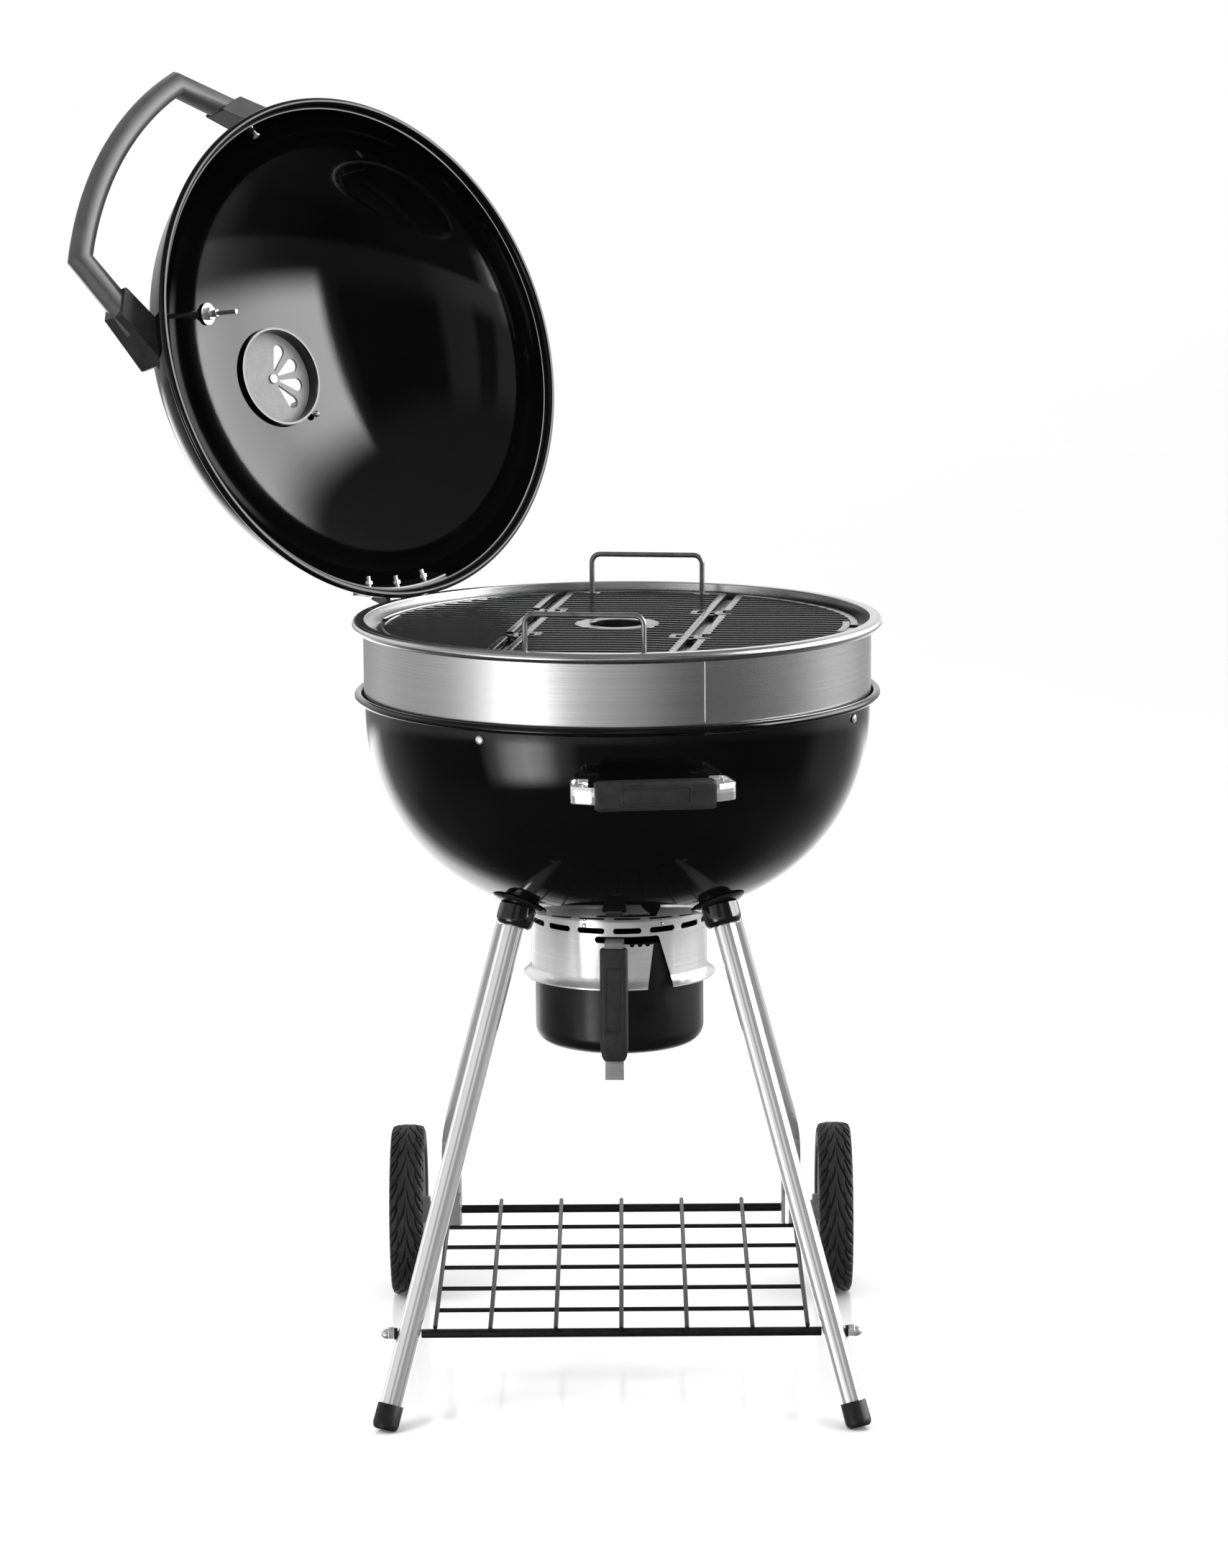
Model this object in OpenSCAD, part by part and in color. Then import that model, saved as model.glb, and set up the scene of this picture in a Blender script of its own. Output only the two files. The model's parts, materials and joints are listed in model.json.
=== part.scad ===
// Kettle charcoal grill on a four-legged trolley, lid hinged open.
// Millimetres, +Z up, floor at z = 0, front of the grill towards -Y.
// Every piece is drawn about the kettle's own vertical axis; place() then sets that axis off from the
// origin, so that the origin lies under the middle of the whole object with its lid open.

/* [Placing] */
// Where the kettle's axis stands, left to right
kettle_x = 163; // [-300:1:300]
// Where the kettle's axis stands, front to back
kettle_y = -95; // [-300:1:300]

/* [Bowl] */
// Outer radius of the bowl at its rim
bowl_r = 285; // [280:0.5:286]
// Height of the bowl's rolled bead
bead_z = 774.6; // [760:0.1:790]
// Depth of the bowl's curved part
bowl_depth = 252; // [230:1:262]
// How square the bowl's curve is, 2 being an ellipse
bowl_curve = 2.24; // [2:0.01:2.4]
// Thickness of the enamelled sheet
sheet = 1.6; // [1:0.1:2]
// Radius of the ash opening in the bowl
ash_hole_r = 78; // [60:1:88]

/* [Band] */
// Outer radius of the stainless band
band_r = 286; // [285.5:0.1:286.5]
// Height of the band's rolled top ring
ring_z = 855.1; // [850:0.1:857]
// Radius of the rolled ring's section
ring_r = 5.7; // [5:0.1:6]

/* [Lid] */
// Angle that the lid is shown open
lid_open = 106.67; // [0:0.01:106.67]
// Height of the closed lid's bead
lid_z = 865.3; // [865.3:0.1:868]
// Outer radius of the lid at its rim
lid_r = 289; // [287:0.5:289.5]
// Height of the dome above its rim
lid_h = 160; // [150:1:170]
// Distance of the lid's hinge pin from the kettle's axis
hinge_r = 311.2; // [309:0.1:314]
// Height of the lid's hinge pin
hinge_z = 845.6; // [843:0.1:847]
// Radius of the hinge pin
pin_r = 4; // [3:0.5:5]

/* [Lid handle] */
// Radius of the bowed grip about the lid's axis
grip_bow_r = 368; // [360:1:380]
// Half of the grip's width
grip_half = 140; // [120:1:150]
// Height of the grip above the rim
grip_up = 65; // [55:1:75]

/* [Cooking grate] */
// Radius of the cooking grate
grate_r = 271.5; // [268:0.5:273]
// Height of the grate's top face
grate_top = 852; // [850:0.5:853]
// Thickness of the cast grate
grate_t = 11.5; // [8:0.5:11.5]
// Turn of the grate about the kettle's axis
grate_turn = -8; // [-12:1:12]
// Distance from rib to rib
rib_pitch = 17.5; // [15:0.5:20]

/* [Ash catcher] */
// Outer radius of the ash collar
collar_r = 100; // [99:0.5:102]
// Outer radius of the ash pot
pot_r = 95.7; // [94:0.1:96]
// Height of the pot's floor above the ground
pot_z = 373; // [360:1:390]

/* [Trolley] */
// Outer radius of the leg tubes
leg_r = 12.25; // [11:0.25:13]
// Height of the shelf's bars
shelf_z = 102; // [98:1:104]
// Radius of the wheels, which is the axle's height too
wheel_r = 102; // [100:1:104]
// Distance of the axle behind the kettle's axis
axle_y = 282.5; // [275:0.5:290]

/* [Hidden] */
$fn = 96;

profile_steps = 26;                 // straight steps along the bowl's and the lid's curve
running = 0.05;                     // radial clearance of a shaft in its own bore
bowl_straight = 5.75;               // straight wall above the bowl's curve
bowl_top = bead_z - bowl_straight;  // where the bowl's curve starts
bead_r = 4.5;                       // section radius of the bowl's and the lid's bead
bowl_bead_r = 292;                  // radius of the bowl's bead
lid_bead_r = 295.4;                 // radius of the lid's bead
ring_centre_r = 292.8;              // radius of the band's rolled ring
hinge_turn = -135;                  // direction of the lid hinge, from the front towards +X
vent_hole_r = 59;                   // hole in the lid for the vent
vent_z = lid_z + 168.4;             // top of the vent plate
damper_z = vent_z + 1.4;            // underside of the vent damper
gauge_r = 131.5;                    // distance of the thermometer from the lid's axis
gauge_turn = -7.2;                  // direction of the thermometer from the front
gauge_tilt = 15.8;                  // slope of the lid under the thermometer
leaf_axis_x = 102;                  // hinge line of the grate's leaves
leaf_axis_z = grate_top - grate_t / 2;
leaf_knuckle_y = 95;                // where a leaf's knuckles sit along its hinge line
leaf_start = 106;                   // inner edge of a leaf
centre_half = 94;                   // half width of the grate's centre piece
frame_w = 9;                        // width of the grate's frame bars
rib_t = 7.2;                        // thickness of the grate's ribs
knuckle_r = 5.7;                    // outer radius of a leaf's knuckles
leaf_pin_r = 3;                     // radius of a leaf's hinge pins
post_x = 65;                        // posts of the grate's two handles, from its middle
post_y = 252;
post_r = 3;
emblem_r = 48;                      // outer radius of the grate's centre ring
slot_z = 508;                       // height of the strap and its slot in the ash collar
strap_turn = -2.9;                  // direction of the ash strap from the front
leg_top = [112, 127, 552];          // top end of a leg's line, mirrored for the four legs
front_foot = [260, 300, 6];         // bottom end of a front leg's line
rear_bend = [203, axle_y, 196];     // where a rear leg turns upright
shelf_y = leg_top[1] + (front_foot[1] - leg_top[1])
    * (leg_top[2] - shelf_z) / (leg_top[2] - front_foot[2]);
wheel_in = 235;                     // inner face of a wheel

function reversed(v) = [for (i = [len(v) - 1:-1:0]) v[i]];

// Points of a quarter super-ellipse, from [r, 0] up to the radius of its hole
function arch(r, h, n, hole) = [for (i = [0:profile_steps])
    let (t = i / profile_steps * acos(pow(hole / r, n / 2)))
    [r * pow(cos(t), 2 / n), h * pow(sin(t), 2 / n)]];

module place() translate([kettle_x, kettle_y, 0]) children();

// Turns the closed lid's pieces to the angle it is shown at
module opened() rotate([0, 0, hinge_turn]) translate([0, -hinge_r, hinge_z]) rotate([lid_open, 0, 0])
    translate([0, hinge_r, -hinge_z]) rotate([0, 0, -hinge_turn]) children();

// Looks outward from the kettle's axis: local +Z points away from it, at an angle from the front
module outward(turn, r, z, tilt = 90)
    rotate([0, 0, turn]) translate([0, -r, z]) rotate([tilt, 0, 0]) children();

// Puts local +Z on the line from a to b
module along(a, b) {
    d = b - a;
    translate(a) rotate([0, acos(d[2] / norm(d)), atan2(d[1], d[0])]) children();
}

module rod(a, b, r) along(a, b) cylinder(r = r, h = norm(b - a));

module torus(r, s, z) translate([0, 0, z]) rotate_extrude() translate([r, 0]) circle(s, $fn = 32);

module washer_ring(r_in, r_out, z, h) translate([0, 0, z]) difference() {
    cylinder(r = r_out, h = h);
    translate([0, 0, -1]) cylinder(r = r_in, h = h + 2);
}

// Part of a ring, centred on the direction turn
module sector(turn, half) rotate([0, 0, turn - 90 - half]) rotate_extrude(angle = 2 * half) children();

// Everything within a dome's surface, flat across its hole
module dome_solid(r, h, n, hole) rotate_extrude() {
    curve = arch(r, h, n, hole);
    polygon(concat(curve, [[0, curve[profile_steps][1]], [0, 0]]));
}

module bowl_solid() translate([0, 0, bowl_top]) mirror([0, 0, 1])
    dome_solid(bowl_r, bowl_depth, bowl_curve, ash_hole_r);

// Everything within the lid, set in from its outer face
module lid_solid(inset = 0)
    translate([0, 0, lid_z]) dome_solid(lid_r - inset, lid_h - inset, 2, vent_hole_r);

function unit(v) = v / norm(v);

// Side step, with a mitre, from the point i of a line to the edge of a strip of thickness t
function edge_step(points, i, t) = let (
    last = len(points) - 1,
    before = unit(points[max(i, 1)] - points[max(i, 1) - 1]),
    after = unit(points[min(i, last - 1) + 1] - points[min(i, last - 1)]),
    middle = unit(before + after))
    [-middle[1], middle[0]] * t / 2 / (middle * after);

// Flat strip of thickness t along a line of points
module strip(points, t) polygon(concat(
    [for (i = [0:len(points) - 1]) points[i] + edge_step(points, i, t)],
    reversed([for (i = [0:len(points) - 1]) points[i] - edge_step(points, i, t)])));

// Pan-head screw along +Z, its seat at z = 0
module pan_screw(head_r, head_h, shank_r, shank) {
    rotate_extrude($fn = 48) polygon([[0, 0], [head_r, 0], [head_r, head_h * 0.45],
        [head_r * 0.8, head_h * 0.85], [head_r * 0.4, head_h], [0, head_h]]);
    translate([0, 0, -shank]) cylinder(r = shank_r, h = shank, $fn = 32);
}

/* ---------- bowl and band ---------- */

module bowl_screw_spots() for (turn = [-31.6, 66.5, 158, 248]) outward(turn, bowl_r, 760) children();

module bowl() color("black") difference() {
    union() {
        translate([0, 0, bowl_top]) mirror([0, 0, 1]) rotate_extrude() polygon(concat(
            arch(bowl_r, bowl_depth, bowl_curve, ash_hole_r),
            reversed(arch(bowl_r - sheet, bowl_depth - sheet, bowl_curve, ash_hole_r))));
        washer_ring(bowl_r - sheet, bowl_bead_r - bead_r + 1.5, bowl_top - sheet, sheet);
        washer_ring(bowl_bead_r - bead_r, bowl_bead_r - bead_r + 1.5, bowl_top - sheet,
            bowl_straight + sheet);
        torus(bowl_bead_r, bead_r, bead_z);
    }
    bowl_screw_spots() cylinder(r = 2.5, h = 20, center = true, $fn = 32);
    bowl_handle_spots() cylinder(r = 3, h = 20, center = true, $fn = 32);
}

module bowl_screws() color("silver") bowl_screw_spots() pan_screw(5, 3, 2.5, 9);

module steel_band() color("gainsboro") difference() {
    union() {
        washer_ring(band_r - 1.5, band_r, bowl_top, ring_z - bowl_top + 3.5);
        washer_ring(band_r - 1.5, ring_centre_r, ring_z + ring_r - 1.5, 1.3);
        washer_ring(band_r - 1.5, band_r, ring_z + 3, ring_r - 3);
        torus(ring_centre_r, ring_r, ring_z);
    }
    band_bolt_spots() cylinder(r = 2.5, h = 20, center = true, $fn = 32);
}

ledge_z = grate_top - grate_t - 1.8;

module grate_ledge() color("dimgray") {
    washer_ring(258, band_r - 1.5, ledge_z, 1.5);
    washer_ring(258, 259.5, ledge_z - 10, 10);
}

/* ---------- grates ---------- */

charcoal_r = 213;      // outer radius of the charcoal grate
charcoal_pitch = 13;   // from rod to rod
charcoal_gap = 9;      // open width between two rods

module charcoal_grate() color("dimgray") translate([0, 0, 592]) difference() {
    cylinder(r = charcoal_r, h = 5);
    for (i = [-15:15]) {
        edge = i * charcoal_pitch + charcoal_gap / 2 * sign(i);
        half = sqrt(max(0, pow(charcoal_r - 10, 2) - edge * edge));
        for (side = [-1, 1]) translate([side * (half / 2 + 3), i * charcoal_pitch, 2.5])
            cube([half - 6, charcoal_gap, 8], center = true);
    }
}

module grated() rotate([0, 0, grate_turn]) children();

// Plan of a ribbed panel from x0 to x1: its outline, with slots between the ribs over a second outline
module ribbed(x0, x1, frame) difference() {
    children(0);
    intersection() {
        children(1);
        for (i = [-16:16]) translate([x0 + frame, (i - 0.5) * rib_pitch + rib_t / 2])
            square([x1 - x0 - 2 * frame, rib_pitch - rib_t]);
    }
}

module centre_outline(inset = 0) intersection() {
    circle(grate_r - inset, $fn = 180);
    square([2 * (centre_half - inset), 600], center = true);
}

module cooking_grate() color("dimgray") grated() {
    difference() {
        union() {
            translate([0, 0, grate_top - grate_t]) linear_extrude(grate_t)
                ribbed(-centre_half, centre_half, frame_w) {
                    centre_outline();
                    difference() {
                        centre_outline(frame_w);
                        circle(emblem_r);
                        for (side = [-1, 1]) translate([-80, side * post_y - 10]) square([160, 20]);
                    }
                }
            seam_strips();
        }
        translate([0, 0, grate_top - grate_t - 1]) cylinder(r = 31, h = grate_t + 2);
        handle_posts() cylinder(r = post_r, h = 40, center = true, $fn = 32);
    }
    for (side = [-1, 1]) for (row = [-1, 1]) for (ear = [-13, 8])
        translate([side * leaf_axis_x, row * leaf_knuckle_y + ear, leaf_axis_z])
            rotate([-90, 0, 0]) difference() {
                union() {
                    cylinder(r = knuckle_r, h = 5, $fn = 48);
                    translate([side > 0 ? -9 : 0, -5, 0]) cube([9, 10, 5]);
                }
                translate([0, 0, -1]) cylinder(r = leaf_pin_r, h = 7, $fn = 48);
            }
}

// Low strips beside the centre piece that close the gaps to the leaves, away from the knuckles
module seam_strips() translate([0, 0, grate_top - grate_t]) linear_extrude(4.5) intersection() {
    circle(grate_r - 1, $fn = 180);
    for (side = [-1, 1]) difference() {
        translate([side * (centre_half + 5) - 6, -300]) square([12, 600]);
        for (row = [-1, 1]) translate([side * (centre_half + 5) - 7, row * leaf_knuckle_y - 18])
            square([14, 36]);
    }
}

module leaf_outline(inset = 0) intersection() {
    circle(grate_r - inset, $fn = 180);
    translate([leaf_start + inset, -300]) square([200, 600]);
}

// Leaf on the +X side; its knuckles ride on the pins held by the grate's ears
module grate_leaf() {
    difference() {
        translate([0, 0, grate_top - grate_t]) linear_extrude(grate_t) difference() {
            ribbed(leaf_start, 260, frame_w - 1) {
                leaf_outline();
                leaf_outline(frame_w);
            }
            for (row = [-1, 1]) translate([100, row * leaf_knuckle_y - 16]) square([10, 32]);
        }
        handle_cut();
    }
    for (row = [-1, 1]) translate([leaf_axis_x, row * leaf_knuckle_y - 7, leaf_axis_z]) rotate([-90, 0, 0])
        difference() {
            union() {
                cylinder(r = knuckle_r, h = 14, $fn = 48);
                translate([0, -5, 0]) cube([9, 10, 14]);
            }
            translate([0, 0, -1]) cylinder(r = leaf_pin_r + running, h = 16, $fn = 48);
        }
}

// Finger notch in the leaf's outer edge
module handle_cut() translate([grate_r + 4, 0, grate_top])
    cylinder(r = 12, h = 2 * grate_t + 1, center = true);

module grate_leaf_right() color("dimgray") grated() grate_leaf();
module grate_leaf_left() color("dimgray") grated() mirror([1, 0, 0]) grate_leaf();

module grate_pins() color("silver") grated() for (side = [-1, 1]) for (row = [-1, 1])
    translate([side * leaf_axis_x, row * leaf_knuckle_y - 13, leaf_axis_z]) rotate([-90, 0, 0])
        cylinder(r = leaf_pin_r, h = 26, $fn = 48);

module handle_posts() for (row = [-1, 1]) for (side = [-1, 1])
    translate([side * post_x, row * post_y, grate_top]) children();

// Bent rod handle that stands in two holes of the grate
module grate_handle(row) color("gray") grated() translate([0, row * post_y, grate_top]) {
    bend = 9;
    top = 45;
    flat = post_x - bend;
    for (side = [-1, 1]) {
        translate([side * post_x, 0, -grate_t]) cylinder(r = post_r, h = grate_t + top - bend, $fn = 32);
        translate([side * flat, 0, top - bend]) rotate([90, 0, 0]) rotate([0, 0, side > 0 ? 0 : 90])
            rotate_extrude(angle = 90, $fn = 48) translate([bend, 0]) circle(post_r, $fn = 32);
    }
    translate([-flat, 0, top]) rotate([0, 90, 0]) cylinder(r = post_r, h = 2 * flat, $fn = 32);
}

module grate_handle_front() grate_handle(-1);
module grate_handle_rear() grate_handle(1);

/* ---------- ash catcher ---------- */

collar_bottom = 452;

module rivet_spots() for (i = [0:6]) outward(-23 + i * 360 / 7, collar_r, 523.4) children();

module ash_collar() color("gainsboro") difference() {
    union() {
        washer_ring(collar_r - 1.2, collar_r, collar_bottom + 10, 74);
        translate([0, 0, collar_bottom]) rotate_extrude()
            polygon([[collar_r - 1.2, 10], [collar_r - 1.2, 12], [collar_r, 12], [collar_r + 2.5, 7],
                [collar_r + 9, 1.5], [collar_r + 9, 0], [collar_r + 7.5, 0], [collar_r + 1, 5.5]]);
    }
    bowl_solid();
    // ring of air slots
    for (i = [0:14]) outward(5.4 + 24 * i, collar_r, 518) {
        cube([25.5, 6.5, 12], center = true);
        for (side = [-1, 1]) translate([side * 12.75, 0, 0])
            cylinder(r = 3.25, h = 12, center = true, $fn = 32);
    }
    // slot of the strap, its three notches, and the way in from below
    translate([0, -60, 0]) rotate([90, 0, 0]) linear_extrude(60) {
        translate([-23.5, slot_z]) circle(3.7, $fn = 32);
        polygon([[-23.5, slot_z - 3.7], [38, slot_z - 6.5], [40, slot_z + 3.2], [28, slot_z + 3.4],
            [-23.5, slot_z + 3.7]]);
        for (x = [14.5, 23.5, 32]) translate([x, slot_z - 5.8]) circle(2.8, $fn = 24);
        translate([41, slot_z - 0.6]) circle(4.2, $fn = 32);
        polygon([[30.5, 440], [64, 440], [60.5, 454], [45.2, slot_z], [37.4, slot_z],
            [38.6, slot_z - 7]]);
    }
    rivet_spots() cylinder(r = 1.6, h = 12, center = true, $fn = 24);
}

module collar_rivets() color("silver") rivet_spots() pan_screw(2.6, 1.4, 1.6, 2.4);

module ash_pot() color("black") rotate_extrude() {
    corner = 20;
    wall = 1.2;
    difference() {
        union() {
            translate([0, pot_z]) square([pot_r - corner, corner]);
            translate([0, pot_z + corner]) square([pot_r, slot_z - 5 - pot_z - corner]);
            translate([pot_r - corner, pot_z + corner]) intersection() {
                circle(corner);
                translate([0, -corner]) square(corner);
            }
        }
        translate([0, pot_z + wall]) square([pot_r - corner, 300]);
        translate([0, pot_z + corner]) square([pot_r - wall, 300]);
        translate([pot_r - corner, pot_z + corner]) circle(corner - wall);
    }
}

strap_r = 117.6;       // distance of the strap's hanging part from the axis
strap_w = 21;
strap_t = 2.4;
strap_low = 352;       // height of the strap's lower end

module strap_blade() translate([-strap_w / 2, -strap_r - strap_t / 2, strap_low])
    cube([strap_w, strap_t, slot_z - 5 - strap_low]);

// Strap riveted inside the pot, out through the collar's slot and down the front
module ash_strap() color("gray") {
    sector(strap_turn, 6) strip([[93.1, slot_z - 26], [93.1, slot_z], [115.4, slot_z],
        [strap_r, slot_z - 5]], strap_t);
    rotate([0, 0, strap_turn]) difference() {
        strap_blade();
        translate([-strap_w, -strap_r - strap_t / 6, strap_low - 1]) cube([2 * strap_w, 3, 12]);
    }
}

module ash_grip() color("dimgray") rotate([0, 0, strap_turn]) difference() {
    translate([0, -strap_r, 374]) linear_extrude(128) offset_box(31, 13, 5);
    strap_blade();
    sector(0, 6) strip([[115.4, slot_z], [strap_r, slot_z - 5]], strap_t);
}

// Rounded rectangle, centred
module offset_box(w, d, r) {
    square([w - 2 * r, d], center = true);
    square([w, d - 2 * r], center = true);
    for (x = [-1, 1]) for (y = [-1, 1])
        translate([x * (w / 2 - r), y * (d / 2 - r)]) circle(r, $fn = 32);
}

/* ---------- bowl handle ---------- */

handle_turn = 7;
handle_z = 713;

handle_y = 330;        // distance of the handle's grip from the axis
handle_w = 19;         // width and thickness of its strap
handle_t = 2.5;

module bowl_handle_spots() for (side = [-1, 1])
    outward(handle_turn + side * 15.4, bowl_r, handle_z) children();

module bowl_handle_strap() color("silver") difference() {
    rotate([0, 0, handle_turn]) mirror([0, 1, 0]) translate([0, 0, handle_z - handle_w / 2])
        linear_extrude(handle_w) strip([[-64, 276.6], [-86, 270.6], [-89, handle_y - 12],
            [-68, handle_y], [68, handle_y], [89, handle_y - 12], [86, 270.6], [64, 276.6]], handle_t);
    bowl_handle_spots() cylinder(r = 3, h = 30, center = true, $fn = 32);
}

module bowl_handle_grip() color("dimgray") rotate([0, 0, handle_turn]) difference() {
    translate([-65.5, -handle_y, handle_z]) rotate([90, 0, 90]) linear_extrude(131) offset_box(20, 32, 7);
    translate([-70, -handle_y - handle_t / 2, handle_z - handle_w / 2]) cube([140, handle_t, handle_w]);
}

module bowl_handle_screws() color("silver") bowl_handle_spots() pan_screw(5, 3, 3, 11);

/* ---------- lid hinge ---------- */

module hinged() rotate([0, 0, hinge_turn]) children();

// Plate in the plane across the hinge pin, from its distance s along the pin, with a bored eye
module eye_plate(s, t, bore) translate([s, 0, 0]) rotate([90, 0, 90]) linear_extrude(t) difference() {
    union() {
        translate([-hinge_r, hinge_z]) circle(9, $fn = 64);
        children();
    }
    translate([-hinge_r, hinge_z]) circle(bore, $fn = 64);
}

module band_bolt_spots() for (turn = [-7.6, 7.6]) outward(hinge_turn + turn, band_r, 822) children();

module band_hinge_bracket() color("dimgray") difference() {
    union() {
        sector(hinge_turn, 9) translate([band_r, 806]) square([3, 40]);
        hinged() for (s = [-30, 24]) eye_plate(s, 6, pin_r)
            polygon([[-band_r - 1, 808], [-band_r - 1, 846], [-305, 848], [-313, 838]]);
    }
    cylinder(r = band_r, h = 1000);
    band_bolt_spots() cylinder(r = 2.5, h = 20, center = true, $fn = 32);
}

module band_hinge_bolts() color("silver") band_bolt_spots()
    translate([0, 0, 3]) pan_screw(4.5, 2.6, 2.5, 10);

module hinge_pin() color("silver") hinged() translate([-40, -hinge_r, hinge_z]) rotate([0, 90, 0]) {
    cylinder(r = pin_r, h = 80, $fn = 64);
    for (z = [0, 77.2]) translate([0, 0, z]) cylinder(r = 6.5, h = 2.8, $fn = 48);
}

module hinge_bolt_spots() for (turn = [-9, 0, 9])
    outward(hinge_turn + turn, 285, lid_z + 27) children();

module lid_hinge_bracket() color("dimgray") opened() difference() {
    union() {
        intersection() {
            sector(hinge_turn, 11) translate([270, lid_z + 9])
                polygon([[0, 0], [21.5, 0], [19, 36], [0, 36]]);
            hinged() translate([0, -285, lid_z]) rotate([90, 0, 0]) linear_extrude(60, center = true)
                polygon([[-50, 0], [50, 0], [57, 46], [-57, 46]]);
        }
        hinged() for (s = [-36.6, 30.6]) eye_plate(s, 6, pin_r + running)
            polygon([[-303, 850], [-303, lid_z + 9], [-280, lid_z + 13], [-280, lid_z + 34],
                [-292, lid_z + 36], [-320, 856]]);
    }
    lid_solid();
    hinge_bolt_spots() cylinder(r = 2.5, h = 30, center = true, $fn = 32);
}

module hinge_backing_plate() color("black") opened() difference() {
    intersection() {
        lid_solid(sheet);
        sector(hinge_turn, 14) translate([240, lid_z + 16]) square([60, 22]);
    }
    lid_solid(sheet + 2);
    hinge_bolt_spots() cylinder(r = 2.5, h = 30, center = true, $fn = 32);
}

module hinge_bolts() color("silver") opened() hinge_bolt_spots() {
    translate([0, 0, 6]) pan_screw(5, 3, 2.5, 22);
    translate([0, 0, -10]) cylinder(r = 4.6, h = 4, $fn = 6);
}

/* ---------- lid ---------- */

module handle_root_spots() for (side = [-1, 1]) outward(side * 33, 277, lid_z + 43, 72) children();
gauge_z = lid_z + lid_h * sqrt(1 - pow(gauge_r / lid_r, 2));
module gauge_spot() outward(gauge_turn, gauge_r, gauge_z, gauge_tilt) children();

module lid_shell() color("black") opened() difference() {
    union() {
        translate([0, 0, lid_z]) rotate_extrude() polygon(concat(
            [[lid_r, 2.9]],
            [for (p = arch(lid_r, lid_h, 2, vent_hole_r)) if (p[1] > 3) p],
            [for (p = reversed(arch(lid_r - sheet, lid_h - sheet, 2, vent_hole_r))) if (p[1] > 3) p],
            [[lid_r - sheet, 2.9]]));
        washer_ring(lid_r - sheet, lid_bead_r, lid_z + 2.9, 1.4);
        torus(lid_bead_r, bead_r, lid_z);
    }
    handle_root_spots() cylinder(r = 3, h = 40, center = true, $fn = 32);
    gauge_spot() cylinder(r = 5, h = 40, center = true, $fn = 32);
    hinge_bolt_spots() cylinder(r = 2.5, h = 30, center = true, $fn = 32);
}

module lid_peg() color("silver") opened() translate([-7, 64, lid_z + 154.2]) mirror([0, 0, 1]) {
    cylinder(r = 1.6, h = 5, $fn = 24);
    translate([0, 0, 6]) sphere(4, $fn = 32);
}

module vent_collar() color("black") opened() {
    washer_ring(vent_r, vent_hole_r, lid_z + 150, vent_z - lid_z - 149.6);
    washer_ring(vent_hole_r, 68, lid_z + 157.2, 2.4);
}

// Four tear-shaped openings over one half of the vent
module vent_petals() for (turn = [-15, 22, 59, 96]) rotate(turn) {
    translate([38, 0]) circle(8, $fn = 32);
    polygon([[11, -1], [11, 1], [36.6, 7.9], [36.6, -7.9]]);
}

vent_r = 56.5;         // radius of the vent plate
vent_t = 1.2;          // thickness of the vent plate and of the damper
vent_pivot_r = 3;

module vent_plate() color("gainsboro") opened() translate([0, 0, vent_z - vent_t])
    linear_extrude(vent_t) difference() {
        circle(vent_r, $fn = 96);
        vent_petals();
        circle(vent_pivot_r, $fn = 48);
    }

module vent_damper() color("gainsboro") opened() translate([0, 0, damper_z]) difference() {
    union() {
        linear_extrude(vent_t) difference() {
            circle(61, $fn = 96);
            vent_petals();
        }
        translate([-3, 44, vent_t]) cube([6, 15, 9]);
    }
    translate([0, 0, -1]) cylinder(r = vent_pivot_r - running, h = 4, $fn = 48);
}

// Pivot with its head under the plate and its knob above the damper
module damper_knob() color("silver") opened() {
    translate([0, 0, vent_z - 4]) cylinder(r = vent_pivot_r - running, h = 8, $fn = 48);
    translate([0, 0, vent_z - 4]) cylinder(r = 5.5, h = 2.4, $fn = 48);
    translate([0, 0, damper_z + vent_t]) rotate_extrude($fn = 64)
        polygon([[0, 0], [8, 0], [11, 5], [11, 9], [8, 12], [0, 12]]);
}

// Ridged section of the lid handle, centred on its axis
module handle_section()
    polygon([[-13, -9], [-5, -13], [8, -12], [14, 0], [8, 12], [-5, 13], [-13, 9]]);

corner_turn = asin(grip_half / grip_bow_r);
corner = [grip_half, -sqrt(grip_bow_r * grip_bow_r - grip_half * grip_half), lid_z + grip_up];
root = [170, -232, lid_z + 49];

module lid_handle() color("dimgray") opened() {
    difference() {
        union() {
            translate([0, 0, lid_z + grip_up]) sector(0, corner_turn)
                translate([grip_bow_r, 0]) handle_section();
            for (side = [-1, 1]) {
                tip = [side * corner[0], corner[1], corner[2]];
                foot = [side * root[0], root[1], root[2]];
                hull() {
                    translate(tip) rotate([0, 0, side * 24]) cube([25, 9, 22], center = true);
                    translate(foot + 0.3 * (tip - foot)) rotate([0, 0, side * 24])
                        cube([26, 12, 27], center = true);
                }
            }
        }
        boot_block(-1);
        boot_block(1);
    }
}

// Boot that clamps the end of the handle's arm to the lid
module boot_block(side) {
    foot = [side * root[0], root[1], root[2]];
    tip = [side * corner[0], corner[1], corner[2]];
    hull() {
        translate(foot + 0.42 * (tip - foot)) rotate([0, 0, side * 22]) cube([33, 3, 33], center = true);
        translate(foot - 0.16 * (tip - foot)) rotate([0, 0, side * 34]) cube([44, 3, 42], center = true);
    }
}

module handle_boot(side) color("black") opened() difference() {
    boot_block(side);
    lid_solid();
    handle_root_spots() cylinder(r = 3, h = 40, center = true, $fn = 32);
}

module handle_boot_left() handle_boot(-1);
module handle_boot_right() handle_boot(1);

module handle_screws() color("silver") opened() handle_root_spots() {
    translate([0, 0, -2.6]) mirror([0, 0, 1]) pan_screw(5, 3, 3, 18);
}

/* ---------- thermometer ---------- */

dial_r = 29;           // radius of the dial and its glass
dial_z = 4.8;          // height of the dial above the lid
probe_r = 2.6;

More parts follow.
